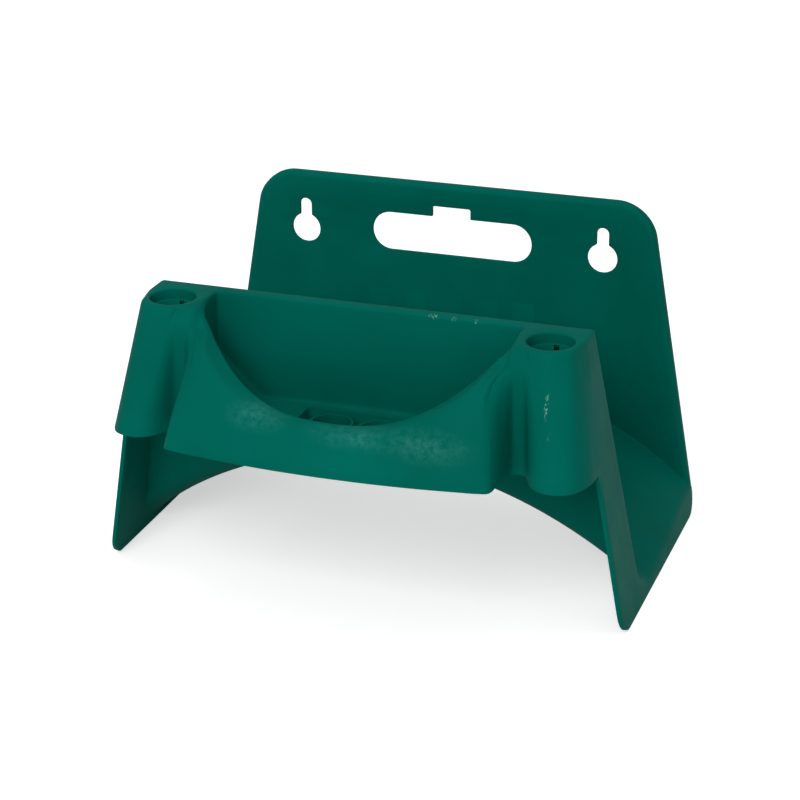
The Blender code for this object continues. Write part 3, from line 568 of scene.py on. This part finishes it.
def pocket_station(t):
    """Station of the pocket opposite a station of the skirt."""
    for (t0, p0), (t1, p1) in zip(OPPOSITE, OPPOSITE[1:]):
        if t <= t1:
            return p0 + (p1 - p0) * (t - t0) / (t1 - t0)
    return OPPOSITE[-1][1]


def pocket_wall(station, z, top_z):
    """Point of the pocket's wall at a height, where its rim is at top_z."""
    start = draw_in(top_z)
    share = (draw_in(z) - start) / (1 - start)
    x, reach = mix(spline(POCKET_TOP, station), spline(POCKET_LOW, station), share)
    return [x, pocket_back(z) - reach, z]


def pocket_edge(t):
    """Corner point of the rim on the pocket's side, opposite station t of the skirt."""
    z = skirt_surface(t, skirt_top(t))[2]
    return pocket_wall(pocket_station(t), z, z)


def wall_rows(wall, top_z, flat):
    """Points from the flat of the rim over its edge and down a pocket wall to the floor."""
    rows = round_over(flat, wall(top_z), wall(top_z - POCKET_EDGE), EDGE_STEPS)
    low = POCKET_FLOOR_Z + POCKET_FOOT_R
    for z in spread(top_z - POCKET_EDGE, low, WALL_ROWS)[1:]:
        rows.append(wall(z))
    foot = Vector(wall(POCKET_FLOOR_Z))
    centre = Vector((0, pocket_back(POCKET_FLOOR_Z) - POCKET_FLOOR_REACH / 2, POCKET_FLOOR_Z))
    inner = foot + (centre - foot).normalized() * POCKET_FOOT_R
    if foot.x < 1e-6:
        inner.x = 0.0
    return rows + round_over(wall(low), list(foot), list(inner), 5)[1:]


def pocket_columns():
    """Columns of the pocket's back wall, its corner, and its end up to the shoulder."""
    columns = []
    radius = POCKET_CORNER_R

    def back_wall(share):
        def wall(z):
            half = pocket_wall(0.0, z, DECK_Z)[0]
            return [share * (half - radius), pocket_back(z), z]
        return wall

    def corner_wall(angle):
        def wall(z):
            middle_x = pocket_wall(0.0, z, DECK_Z)[0] - radius
            middle_y = pocket_back(z) - radius
            return [middle_x + radius * math.sin(angle), middle_y + radius * math.cos(angle), z]
        return wall

    def end_wall(station):
        def wall(z):
            return pocket_wall(station, z, DECK_Z)
        return wall

    for share in spread(0, 1, BACK_COLUMNS):
        wall = back_wall(share)
        x, y, z = wall(DECK_Z)
        columns.append(wall_rows(wall, DECK_Z, [x, y + 0.0014, z]))
    for angle in spread(0, math.pi / 2, CORNER_COLUMNS)[1:-1]:
        wall = corner_wall(angle)
        x, y, z = wall(DECK_Z)
        flat = [x + 0.0018 * math.sin(angle), y + 0.0016 * math.cos(angle), z]
        columns.append(wall_rows(wall, DECK_Z, flat))
    for station in spread(0.3, pocket_station(SHOULDER_STATION), END_COLUMNS):
        wall = end_wall(station)
        x, y, z = wall(DECK_Z)
        columns.append(wall_rows(wall, DECK_Z, [x + POCKET_END_EDGE, y, z]))
    return columns


def rim_columns(stations):
    """Columns from the skirt's edge across the rim and down the pocket's wall."""
    columns = []
    for t in stations:
        first = front_rows(t)[0]
        edge = Vector(pocket_edge(t))
        corner = Vector(skirt_surface(t, skirt_top(t)))
        across = corner - edge
        width = POCKET_END_EDGE / max(across.length, POCKET_END_EDGE)
        share = width + (RIM_MEETING - width) * onto_rim(t)
        flat = edge + across * share
        if t <= SHOULDER_STATION:
            flat = edge + Vector((POCKET_END_EDGE, 0, 0))
        station, top_z = pocket_station(t), edge.z

        def wall(z, station=station, top_z=top_z):
            return pocket_wall(station, z, top_z)

        rim = [mix(first, list(flat), f) for f in spread(0, 1, RIM_COLUMNS)[:-1]]
        columns.append(rim + wall_rows(wall, top_z, list(flat)))
    return columns


# Modelling

def add_grid(mesh, columns):
    """Adds a grid of faces between columns of points."""
    layer = [[mesh.verts.new(point) for point in column] for column in columns]
    for left, right in zip(layer, layer[1:]):
        for i in range(len(left) - 1):
            mesh.faces.new((left[i], right[i], right[i + 1], left[i + 1]))


def pick(obj, test, kind="VERT"):
    """In edit mode, selects the vertices, edges or faces that pass a test."""
    mesh = bmesh.from_edit_mesh(obj.data)
    for face in mesh.faces:
        face.select = False
    for edge in mesh.edges:
        edge.select = False
    for vert in mesh.verts:
        vert.select = False
    bpy.context.tool_settings.mesh_select_mode = (kind == "VERT", kind == "EDGE", kind == "FACE")
    for item in {"VERT": mesh.verts, "EDGE": mesh.edges, "FACE": mesh.faces}[kind]:
        if test(item):
            item.select_set(True)
    mesh.select_flush_mode()
    bmesh.update_edit_mesh(obj.data)


def take(obj):
    """Makes obj the only selected object."""
    for other in bpy.context.selected_objects:
        other.select_set(False)
    obj.select_set(True)
    bpy.context.view_layer.objects.active = obj


def edit(obj):
    take(obj)
    bpy.ops.object.mode_set(mode="EDIT")


def leave():
    bpy.ops.object.mode_set(mode="OBJECT")


def settle(obj):
    """Applies the place of a piece, so that it sits at the origin, unturned and unscaled."""
    take(obj)
    bpy.ops.object.transform_apply(location=True, rotation=True, scale=True)


def apply_all(obj):
    """Applies all modifiers of a piece."""
    take(obj)
    for modifier in list(obj.modifiers):
        bpy.ops.object.modifier_apply(modifier=modifier.name)


def bevel_edges(obj, width, segments, angle):
    """Rounds the edges that turn by more than an angle in degrees."""
    bevel = obj.modifiers.new("edges", "BEVEL")
    bevel.width = width
    bevel.segments = segments
    bevel.limit_method = "ANGLE"
    bevel.angle_limit = math.radians(angle)
    apply_all(obj)


def thicken(obj, thickness, even):
    """Gives a skin its wall, inward from its face."""
    solid = obj.modifiers.new("wall", "SOLIDIFY")
    solid.thickness = thickness
    solid.offset = -1
    solid.use_even_offset = even
    apply_all(obj)


def turn_outward(obj, wrong):
    """Makes the normals agree, and flips them where a test finds them wrong."""
    edit(obj)
    bpy.ops.mesh.select_all(action="SELECT")
    bpy.ops.mesh.normals_make_consistent(inside=False)
    leave()
    if wrong(obj.data.polygons):
        edit(obj)
        bpy.ops.mesh.select_all(action="SELECT")
        bpy.ops.mesh.flip_normals()
        leave()


def shade(obj, angle):
    """Shades a piece smooth where it turns by less than an angle in degrees."""
    take(obj)
    bpy.ops.object.shade_smooth_by_angle(angle=math.radians(angle))


def flatten(obj, test, keep, place):
    """Presses the vertices that pass a test flat, at a place."""
    edit(obj)
    pick(obj, test)
    bpy.ops.transform.resize(value=keep, center_override=place)
    leave()


def subtract(obj, cutter):
    """Cuts one piece out of another."""
    settle(cutter)
    take(obj)
    boolean = obj.modifiers.new("cut", "BOOLEAN")
    boolean.operation = "DIFFERENCE"
    boolean.solver = "EXACT"
    boolean.object = cutter
    bpy.ops.object.modifier_apply(modifier=boolean.name)
    bpy.data.objects.remove(cutter)


def make_shell():
    """Saddle, sides, lip wall, towers, apron and pocket: one continuous skin."""
    fine = [k / 8 for k in range(0, 97)] + [12 + k / 5 for k in range(1, 21)]
    front = [front_rows(t) for t in fine]
    mesh = bmesh.new()
    add_grid(mesh, rear_columns())
    add_grid(mesh, side_columns(front[0]))
    add_grid(mesh, front)
    add_grid(mesh, pocket_columns())
    add_grid(mesh, rim_columns([t for t in fine if t >= SHOULDER_STATION]))
    data = bpy.data.meshes.new("moulded_shell")
    mesh.to_mesh(data)
    mesh.free()
    shell = bpy.data.objects.new("moulded_shell", data)
    bpy.context.scene.collection.objects.link(shell)
    mirror = shell.modifiers.new("mirror", "MIRROR")
    mirror.use_axis = (True, False, False)
    mirror.merge_threshold = 0.00001
    apply_all(shell)
    edit(shell)
    bpy.ops.mesh.select_all(action="SELECT")
    bpy.ops.mesh.remove_doubles(threshold=0.00002)
    leave()
    fill_decks(shell)
    fill_floor(shell)

    def decks_face_down(faces):
        return sum(p.normal.z * p.area for p in faces if p.center.z > DECK_Z - 1e-4) < 0

    turn_outward(shell, decks_face_down)
    thicken(shell, WALL_T, False)
    bevel_edges(shell, 0.0005, 2, 60)
    flatten(shell, lambda v: v.co.z < 0, (1, 1, 0), (0, 0, 0))
    flatten(shell, lambda v: v.co.y > WALL_Y, (1, 0, 1), (0, WALL_Y, 0))
    shade(shell, 42)
    return shell


def open_at(edge, z):
    """Whether an edge has a face on one side only and lies at a height."""
    return len(edge.link_faces) < 2 and all(abs(v.co.z - z) < 1e-6 for v in edge.verts)


def socket_steps():
    """Radius and depth of each ring on the way down a socket."""
    ledge_r = SOCKET_R - SOCKET_LEDGE
    return ((SOCKET_R + 0.0005, 0.00015), (SOCKET_R + 0.00015, 0.0005), (SOCKET_R, 0.0011),
            (SOCKET_R - 0.0002, SOCKET_LEDGE_DEPTH - 0.0002), (SOCKET_R - 0.0004, SOCKET_LEDGE_DEPTH),
            (ledge_r + 0.0002, SOCKET_LEDGE_DEPTH + 0.0001), (ledge_r, SOCKET_LEDGE_DEPTH + 0.0004),
            (ledge_r - 0.0003, SOCKET_DEPTH))


def fill_decks(shell):
    """Flat tops round the two socket holes, then the holes drawn down into tubes with a slit at the back."""
    edit(shell)
    for side in (-1, 1):
        bpy.ops.mesh.select_all(action="DESELECT")
        bpy.ops.mesh.primitive_circle_add(vertices=48, radius=SOCKET_R + SOCKET_EDGE, fill_type="NOTHING",
                                          location=(side * SOCKET[0], SOCKET[1], DECK_Z))
    pick(shell, lambda e: open_at(e, DECK_Z), "EDGE")
    bpy.ops.mesh.fill(use_beauty=True)
    for side in (-1, 1):
        place = Vector((side * SOCKET[0], SOCKET[1], DECK_Z))

        def on_ring(e, place=place):
            return open_at(e, DECK_Z) and all((v.co - place).length < SOCKET_R + 0.0012 for v in e.verts)

        pick(shell, on_ring, "EDGE")
        radius, depth = SOCKET_R + SOCKET_EDGE, 0.0
        for new_radius, new_depth in socket_steps():
            bpy.ops.mesh.extrude_region_move(TRANSFORM_OT_translate={"value": (0, 0, depth - new_depth)})
            scale = new_radius / radius
            bpy.ops.transform.resize(value=(scale, scale, 1), center_override=place)
            radius, depth = new_radius, new_depth

        def on_slit(f, place=place):
            middle = f.calc_center_median()
            return (abs(middle.x - place.x) < SLIT_HALF and middle.y > place.y + 0.008
                    and middle.z < DECK_Z - SOCKET_LEDGE_DEPTH - 0.001 and (middle - place).length < 0.02)

        pick(shell, on_slit, "FACE")
        bpy.ops.mesh.delete(type="FACE")
    leave()


def fill_floor(shell):
    """Pocket floor with its rectangular well drawn down."""
    back = pocket_back(POCKET_FLOOR_Z)
    middle = Vector((0, back - (WELL_BACK + WELL_FRONT) / 2, POCKET_FLOOR_Z))
    edit(shell)
    bpy.ops.mesh.select_all(action="DESELECT")
    bpy.ops.mesh.primitive_plane_add(size=1, location=middle)
    bpy.ops.transform.resize(value=(2 * WELL_HALF, WELL_FRONT - WELL_BACK, 1), center_override=middle)
    bpy.ops.mesh.bevel(offset=WELL_CORNER_R, segments=4, affect="VERTICES")
    bpy.ops.mesh.delete(type="ONLY_FACE")

    def on_floor(e):
        return open_at(e, POCKET_FLOOR_Z) and all(v.co.y < back + 0.001 for v in e.verts)

    pick(shell, on_floor, "EDGE")
    bpy.ops.mesh.fill(use_beauty=True)
    pick(shell, lambda e: open_at(e, POCKET_FLOOR_Z), "EDGE")
    steps = ((0.9930, 0.0002), (0.9960, 0.0007), (0.9900, WELL_DEPTH - 0.0017), (0.986, 0.0010))
    for shrink, drop in steps:
        bpy.ops.mesh.extrude_region_move(TRANSFORM_OT_translate={"value": (0, 0, -drop)})
        bpy.ops.transform.resize(value=(shrink, shrink, 1), center_override=middle)
    bpy.ops.mesh.edge_face_add()
    leave()


def make_panel():
    """Back panel with its rounded edge, hand slot, keyholes and arched lower edge."""
    bpy.ops.mesh.primitive_cube_add(size=1, location=(0, (PANEL_Y + WALL_Y) / 2, HEIGHT / 2),
                                    scale=(2 * TOP_HALF_WIDTH, WALL_Y - PANEL_Y, HEIGHT))
    panel = bpy.context.object
    panel.name = panel.data.name = "back_plate"
    settle(panel)
    edit(panel)
    pick(panel, lambda v: v.co.z < 0.001)
    wide = half_width(0.0) / TOP_HALF_WIDTH
    bpy.ops.transform.resize(value=(wide, 1, 1), center_override=(0, 0, 0))

    def top_corner(e):
        one, other = e.verts
        return min(one.co.z, other.co.z) > HEIGHT - 1e-5 and abs(one.co.x - other.co.x) < 1e-6

    pick(panel, top_corner, "EDGE")
    reach = PANEL_CORNER_R / math.tan((math.pi / 2 + math.atan(FLARE)) / 2)
    bpy.ops.mesh.bevel(offset_type="ABSOLUTE", offset=reach, segments=14, affect="EDGES")
    leave()
    bpy.ops.mesh.primitive_cylinder_add(vertices=360, radius=ARCH_R, depth=0.05,
                                        rotation=(math.pi / 2, 0, 0),
                                        location=(0, PANEL_Y, SADDLE_CROWN_Z - ARCH_DROP - ARCH_R))
    subtract(panel, bpy.context.object)
    low = saddle_section(crown_height(PANEL_Y))[-1][1] - PANEL_OVERLAP
    edit(panel)
    bpy.ops.mesh.select_all(action="SELECT")
    bpy.ops.mesh.bisect(plane_co=(0, 0, low), plane_no=(0, 0, -1), clear_outer=True, use_fill=False)
    pick(panel, lambda f: abs(f.normal.y - 1) < 1e-3 or (f.normal.z < -0.5), "FACE")
    bpy.ops.mesh.delete(type="FACE")

    def front_edge(e):
        in_front = all(abs(v.co.y - PANEL_Y) < 1e-6 for v in e.verts)
        return in_front and len(e.link_faces) == 2 and min(abs(f.normal.y) for f in e.link_faces) < 0.5

    pick(panel, front_edge, "EDGE")
    bpy.ops.mesh.bevel(offset=PANEL_EDGE_R, segments=7, affect="EDGES")
    leave()
    turn_outward(panel, lambda faces: sum(p.normal.y * p.area for p in faces) > 0)
    thicken(panel, PANEL_T, True)
    cut_hand_slot(panel)
    cut_keyholes(panel)
    bevel_edges(panel, 0.0006, 3, 50)
    shade(panel, 40)
    return panel


def block(x0, x1, y0, y1, z0, z1):
    """Square block between two corners."""
    bpy.ops.mesh.primitive_cube_add(size=1, location=((x0 + x1) / 2, (y0 + y1) / 2, (z0 + z1) / 2),
                                    scale=(x1 - x0, y1 - y0, z1 - z0))
    settle(bpy.context.object)
    return bpy.context.object


def through(edge):
    """Whether an edge of a cutting block goes through the panel."""
    return abs(edge.verts[0].co.y - edge.verts[1].co.y) > 0.02


def cut_hand_slot(panel):
    """Long rounded slot with a square notch in the middle of its upper edge."""
    low, high = HAND_SLOT_Z - HAND_SLOT_H / 2, HAND_SLOT_Z + HAND_SLOT_H / 2
    slot = block(-HAND_SLOT_HALF, HAND_SLOT_HALF, PANEL_Y - 0.01, PANEL_Y + 0.02, low, high)
    edit(slot)
    pick(slot, through, "EDGE")
    bpy.ops.mesh.bevel(offset=HAND_SLOT_H / 2 - 0.0001, segments=12, affect="EDGES")
    leave()
    subtract(panel, slot)
    notch = block(-NOTCH_HALF, NOTCH_HALF, PANEL_Y - 0.01, PANEL_Y + 0.02, HAND_SLOT_Z, high + NOTCH_RISE)
    edit(notch)
    pick(notch, lambda e: through(e) and e.verts[0].co.z > high, "EDGE")
    bpy.ops.mesh.bevel(offset=NOTCH_CORNER_R, segments=3, affect="EDGES")
    leave()
    subtract(panel, notch)


def cut_keyholes(panel):
    """Round holes for the screws' heads, with a slot up for their shanks."""
    for side in (-1, 1):
        x, z = side * KEYHOLE[0], KEYHOLE[1]
        bpy.ops.mesh.primitive_cylinder_add(vertices=48, radius=KEYHOLE_R, depth=0.03,
                                            rotation=(math.pi / 2, 0, 0), location=(x, PANEL_Y, z))
        subtract(panel, bpy.context.object)
        half = KEYHOLE_SLOT_W / 2
        slot = block(x - half, x + half, PANEL_Y - 0.012, PANEL_Y + 0.018, z, z + KEYHOLE_SLOT_RISE)
        edit(slot)
        pick(slot, lambda e, low=z + 0.01: through(e) and e.verts[0].co.z > low, "EDGE")
        bpy.ops.mesh.bevel(offset=half - 0.00005, segments=8, affect="EDGES")
        leave()
        subtract(panel, slot)


def make_rib(index):
    """Shallow upright rib of the panel that fades out towards its top."""
    x = (index - (RIB_COUNT + 1) / 2) * RIB_PITCH
    foot = crown_height(PANEL_Y) - 0.004
    rib = block(x - RIB_W / 2, x + RIB_W / 2, PANEL_Y - RIB_T, PANEL_Y + RIB_ROOT, foot, RIB_TOP_Z)
    rib.name = rib.data.name = "panel_rib_face_%d" % index
    edit(rib)
    pick(rib, lambda v: v.co.z > RIB_TOP_Z - 0.001 and v.co.y < PANEL_Y)
    bpy.ops.transform.translate(value=(0, RIB_T + RIB_SINK, 0))
    leave()
    bevel_edges(rib, 0.0003, 2, 40)
    shade(rib, 40)
    return rib


# Materials and studio

def green_plastic():
    """Satin dark green plastic: faint clouding, fine grain, paler scuffs that are partly painted highlight,
    and a few light specks.
    """
    material = bpy.data.materials.new("satin_green_plastic")
    material.use_nodes = True
    tree = material.node_tree
    nodes, links = tree.nodes, tree.links
    shader = nodes["Principled BSDF"]
    where = nodes.new("ShaderNodeTexCoord").outputs["Object"]

    def put(value, socket):
        if isinstance(value, (int, float, tuple)):
            socket.default_value = value
        else:
            links.new(value, socket)

    def noise(scale, detail, rough=0.5, vector=None):
        node = nodes.new("ShaderNodeTexNoise")
        node.inputs["Scale"].default_value = scale
        node.inputs["Detail"].default_value = detail
        node.inputs["Roughness"].default_value = rough
        links.new(vector or where, node.inputs["Vector"])
        return node.outputs["Fac"]

    def vector_math(operation, first, second=None):
        node = nodes.new("ShaderNodeVectorMath")
        node.operation = operation
        put(first, node.inputs[0])
        if second is not None:
            put(second, node.inputs[1])
        return node.outputs["Value" if operation == "LENGTH" else "Vector"]

    def math_node(operation, first, second):
        node = nodes.new("ShaderNodeMath")
        node.operation = operation
        put(first, node.inputs[0])
        put(second, node.inputs[1])
        return node.outputs["Value"]

    def span(source, low, high, new_low, new_high):
        node = nodes.new("ShaderNodeMapRange")
        node.inputs["From Min"].default_value = low
        node.inputs["From Max"].default_value = high
        node.inputs["To Min"].default_value = new_low
        node.inputs["To Max"].default_value = new_high
        links.new(source, node.inputs["Value"])
        return node.outputs["Result"]

    def blend(share, first, second):
        node = nodes.new("ShaderNodeMix")
        node.data_type = "RGBA"
        put(first, node.inputs[6])
        put(second, node.inputs[7])
        put(share, node.inputs[0])
        return node.outputs[2]

    def patch(centre, reach):
        """1 inside an oval patch, fading to 0 at its edge."""
        offset = vector_math("DIVIDE", vector_math("SUBTRACT", where, centre), reach)
        return span(vector_math("LENGTH", offset), 0.1, 1.0, 1.0, 0.0)

    def patches(spots, pattern):
        """All patches of one kind, filled with a pattern."""
        shares = [math_node("MULTIPLY", patch(centre, reach), pattern) for centre, reach in spots]
        return functools.reduce(lambda one, other: math_node("MAXIMUM", one, other), shares)

    base = blend(span(noise(14, 3), 0.3, 0.7, 0, 1), DEEP_GREEN, FRESH_GREEN)
    base = blend(span(noise(900, 4, 0.6), 0.62, 0.85, 0, 0.5), base, GRAIN_GREEN)
    # Scuffed patches on the apron below the rim: rubbed wear and painted highlight in one paler colour
    scuff_and_highlight_marks = patches(SCUFFS_AND_HIGHLIGHTS, span(noise(260, 8, 0.8), 0.40, 0.72, 0.0, 1.0))
    base = blend(math_node("MULTIPLY", scuff_and_highlight_marks, 0.55), base, RUBBED_AND_HIGHLIGHT_GREEN)
    flecks = noise(1500, 2, 0.5, vector_math("MULTIPLY", where, (1.0, 1.0, 0.35)))
    base = blend(patches(CHIPS, span(flecks, 0.52, 0.60, 0.0, 0.6)), base, CHIP_GREEN)
    links.new(base, shader.inputs["Base Color"])
    rough = math_node("ADD", span(noise(60, 5), 0.3, 0.7, 0.36, 0.46), math_node("MULTIPLY", scuff_and_highlight_marks, 0.12))
    links.new(rough, shader.inputs["Roughness"])
    shader.inputs["IOR"].default_value = 1.46
    shader.inputs["Specular IOR Level"].default_value = 0.018
    shader.inputs["Specular Tint"].default_value = (0.25, 0.9, 0.8, 1)
    bump = nodes.new("ShaderNodeBump")
    bump.inputs["Strength"].default_value = 0.12
    bump.inputs["Distance"].default_value = 0.0003
    links.new(noise(1500, 3), bump.inputs["Height"])
    links.new(bump.outputs["Normal"], shader.inputs["Normal"])
    return material


def add_floor():
    """Pale floor that camera rays see as white, but for the object's shadow."""
    bpy.ops.mesh.primitive_plane_add(size=12, location=(0, 0, -0.0004))
    floor = bpy.context.object
    floor.name = "floor"
    settle(floor)
    material = bpy.data.materials.new("pale_floor")
    material.use_nodes = True
    nodes, links = material.node_tree.nodes, material.node_tree.links
    shader = nodes["Principled BSDF"]
    shader.inputs["Base Color"].default_value = (0.9, 0.9, 0.9, 1)
    shader.inputs["Roughness"].default_value = 0.9
    lift = nodes.new("ShaderNodeEmission")
    ray = nodes.new("ShaderNodeLightPath")
    amount = nodes.new("ShaderNodeMath")
    amount.operation = "MULTIPLY"
    amount.inputs[1].default_value = 0.55
    both = nodes.new("ShaderNodeAddShader")
    links.new(ray.outputs["Is Camera Ray"], amount.inputs[0])
    links.new(amount.outputs["Value"], lift.inputs["Strength"])
    links.new(shader.outputs["BSDF"], both.inputs[0])
    links.new(lift.outputs["Emission"], both.inputs[1])
    links.new(both.outputs["Shader"], nodes["Material Output"].inputs["Surface"])
    floor.data.materials.append(material)


def add_world():
    """Soft even light all round, and plain white where the camera sees past the floor."""
    world = bpy.data.worlds.new("studio")
    bpy.context.scene.world = world
    world.use_nodes = True
    nodes, links = world.node_tree.nodes, world.node_tree.links
    soft = nodes["Background"]
    soft.inputs["Color"].default_value = (1, 1, 1, 1)
    soft.inputs["Strength"].default_value = 0.42
    white = nodes.new("ShaderNodeBackground")
    white.inputs["Color"].default_value = (1, 1, 1, 1)
    seen = nodes.new("ShaderNodeLightPath")
    choose = nodes.new("ShaderNodeMixShader")
    links.new(seen.outputs["Is Camera Ray"], choose.inputs["Fac"])
    links.new(soft.outputs["Background"], choose.inputs[1])
    links.new(white.outputs["Background"], choose.inputs[2])
    links.new(choose.outputs["Shader"], nodes["World Output"].inputs["Surface"])


def add_lamp(name, place, power):
    """Soft square lamp of one metre that faces the object."""
    lamp = bpy.data.lights.new(name, "AREA")
    lamp.energy = power
    lamp.size = 1.0
    obj = bpy.data.objects.new(name, lamp)
    obj.location = place
    obj.rotation_euler = (Vector((0, 0, 0.1)) - Vector(place)).to_track_quat("-Z", "Y").to_euler()
    bpy.context.scene.collection.objects.link(obj)


def add_camera():
    """Camera at the photograph's place and angle."""
    level = math.cos(CAMERA_TIP)
    ahead = Vector((-math.sin(CAMERA_TURN) * level, math.cos(CAMERA_TURN) * level, -math.sin(CAMERA_TIP)))
    right = Vector((math.cos(CAMERA_TURN), math.sin(CAMERA_TURN), 0))
    up = right.cross(ahead)
    roll = Matrix.Rotation(CAMERA_ROLL, 3, right.cross(up))
    axes = Matrix((roll @ right, roll @ up, -ahead)).transposed().to_4x4()
    camera = bpy.data.cameras.new("camera")
    camera.lens = CAMERA_LENS
    camera.sensor_width = CAMERA_SENSOR
    camera.clip_start = 0.05
    viewer = bpy.data.objects.new("camera", camera)
    viewer.matrix_world = Matrix.Translation(CAMERA_PLACE) @ axes
    bpy.context.scene.collection.objects.link(viewer)
    bpy.context.scene.camera = viewer


def add_studio():
    """Floor, soft lamps and the photograph's camera."""
    add_floor()
    add_world()
    add_lamp("key", (0.0, -1.5, 1.2), 17)
    add_lamp("top", (0.1, 0.1, 2.0), 7)
    add_camera()
    bpy.context.scene.view_settings.view_transform = "Standard"


def main():
    """Models and colours the pieces, then sets up the studio."""
    take(bpy.context.scene.objects[0])
    green = green_plastic()
    shell = make_shell()
    panel = make_panel()
    ribs = [make_rib(k) for k in range(1, RIB_COUNT + 1)]
    for piece in [shell, panel] + ribs:
        piece.data.materials.clear()
        piece.data.materials.append(green)
        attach(piece, "root")
    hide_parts("back_panel", "rim_top", "rim_left", "rim_right")
    for index, rib in enumerate(ribs, 1):
        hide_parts("panel_rib_%d" % index)
    others = ("back_panel", "rim_", "panel_rib", "well_ring")
    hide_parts(*[name for name in frame["nodes"] if not name.startswith(others)])
    for name in ("well_ring_left", "well_ring_right"):
        for slot in frame["nodes"][name].material_slots:
            slot.material = green
    add_studio()


main()
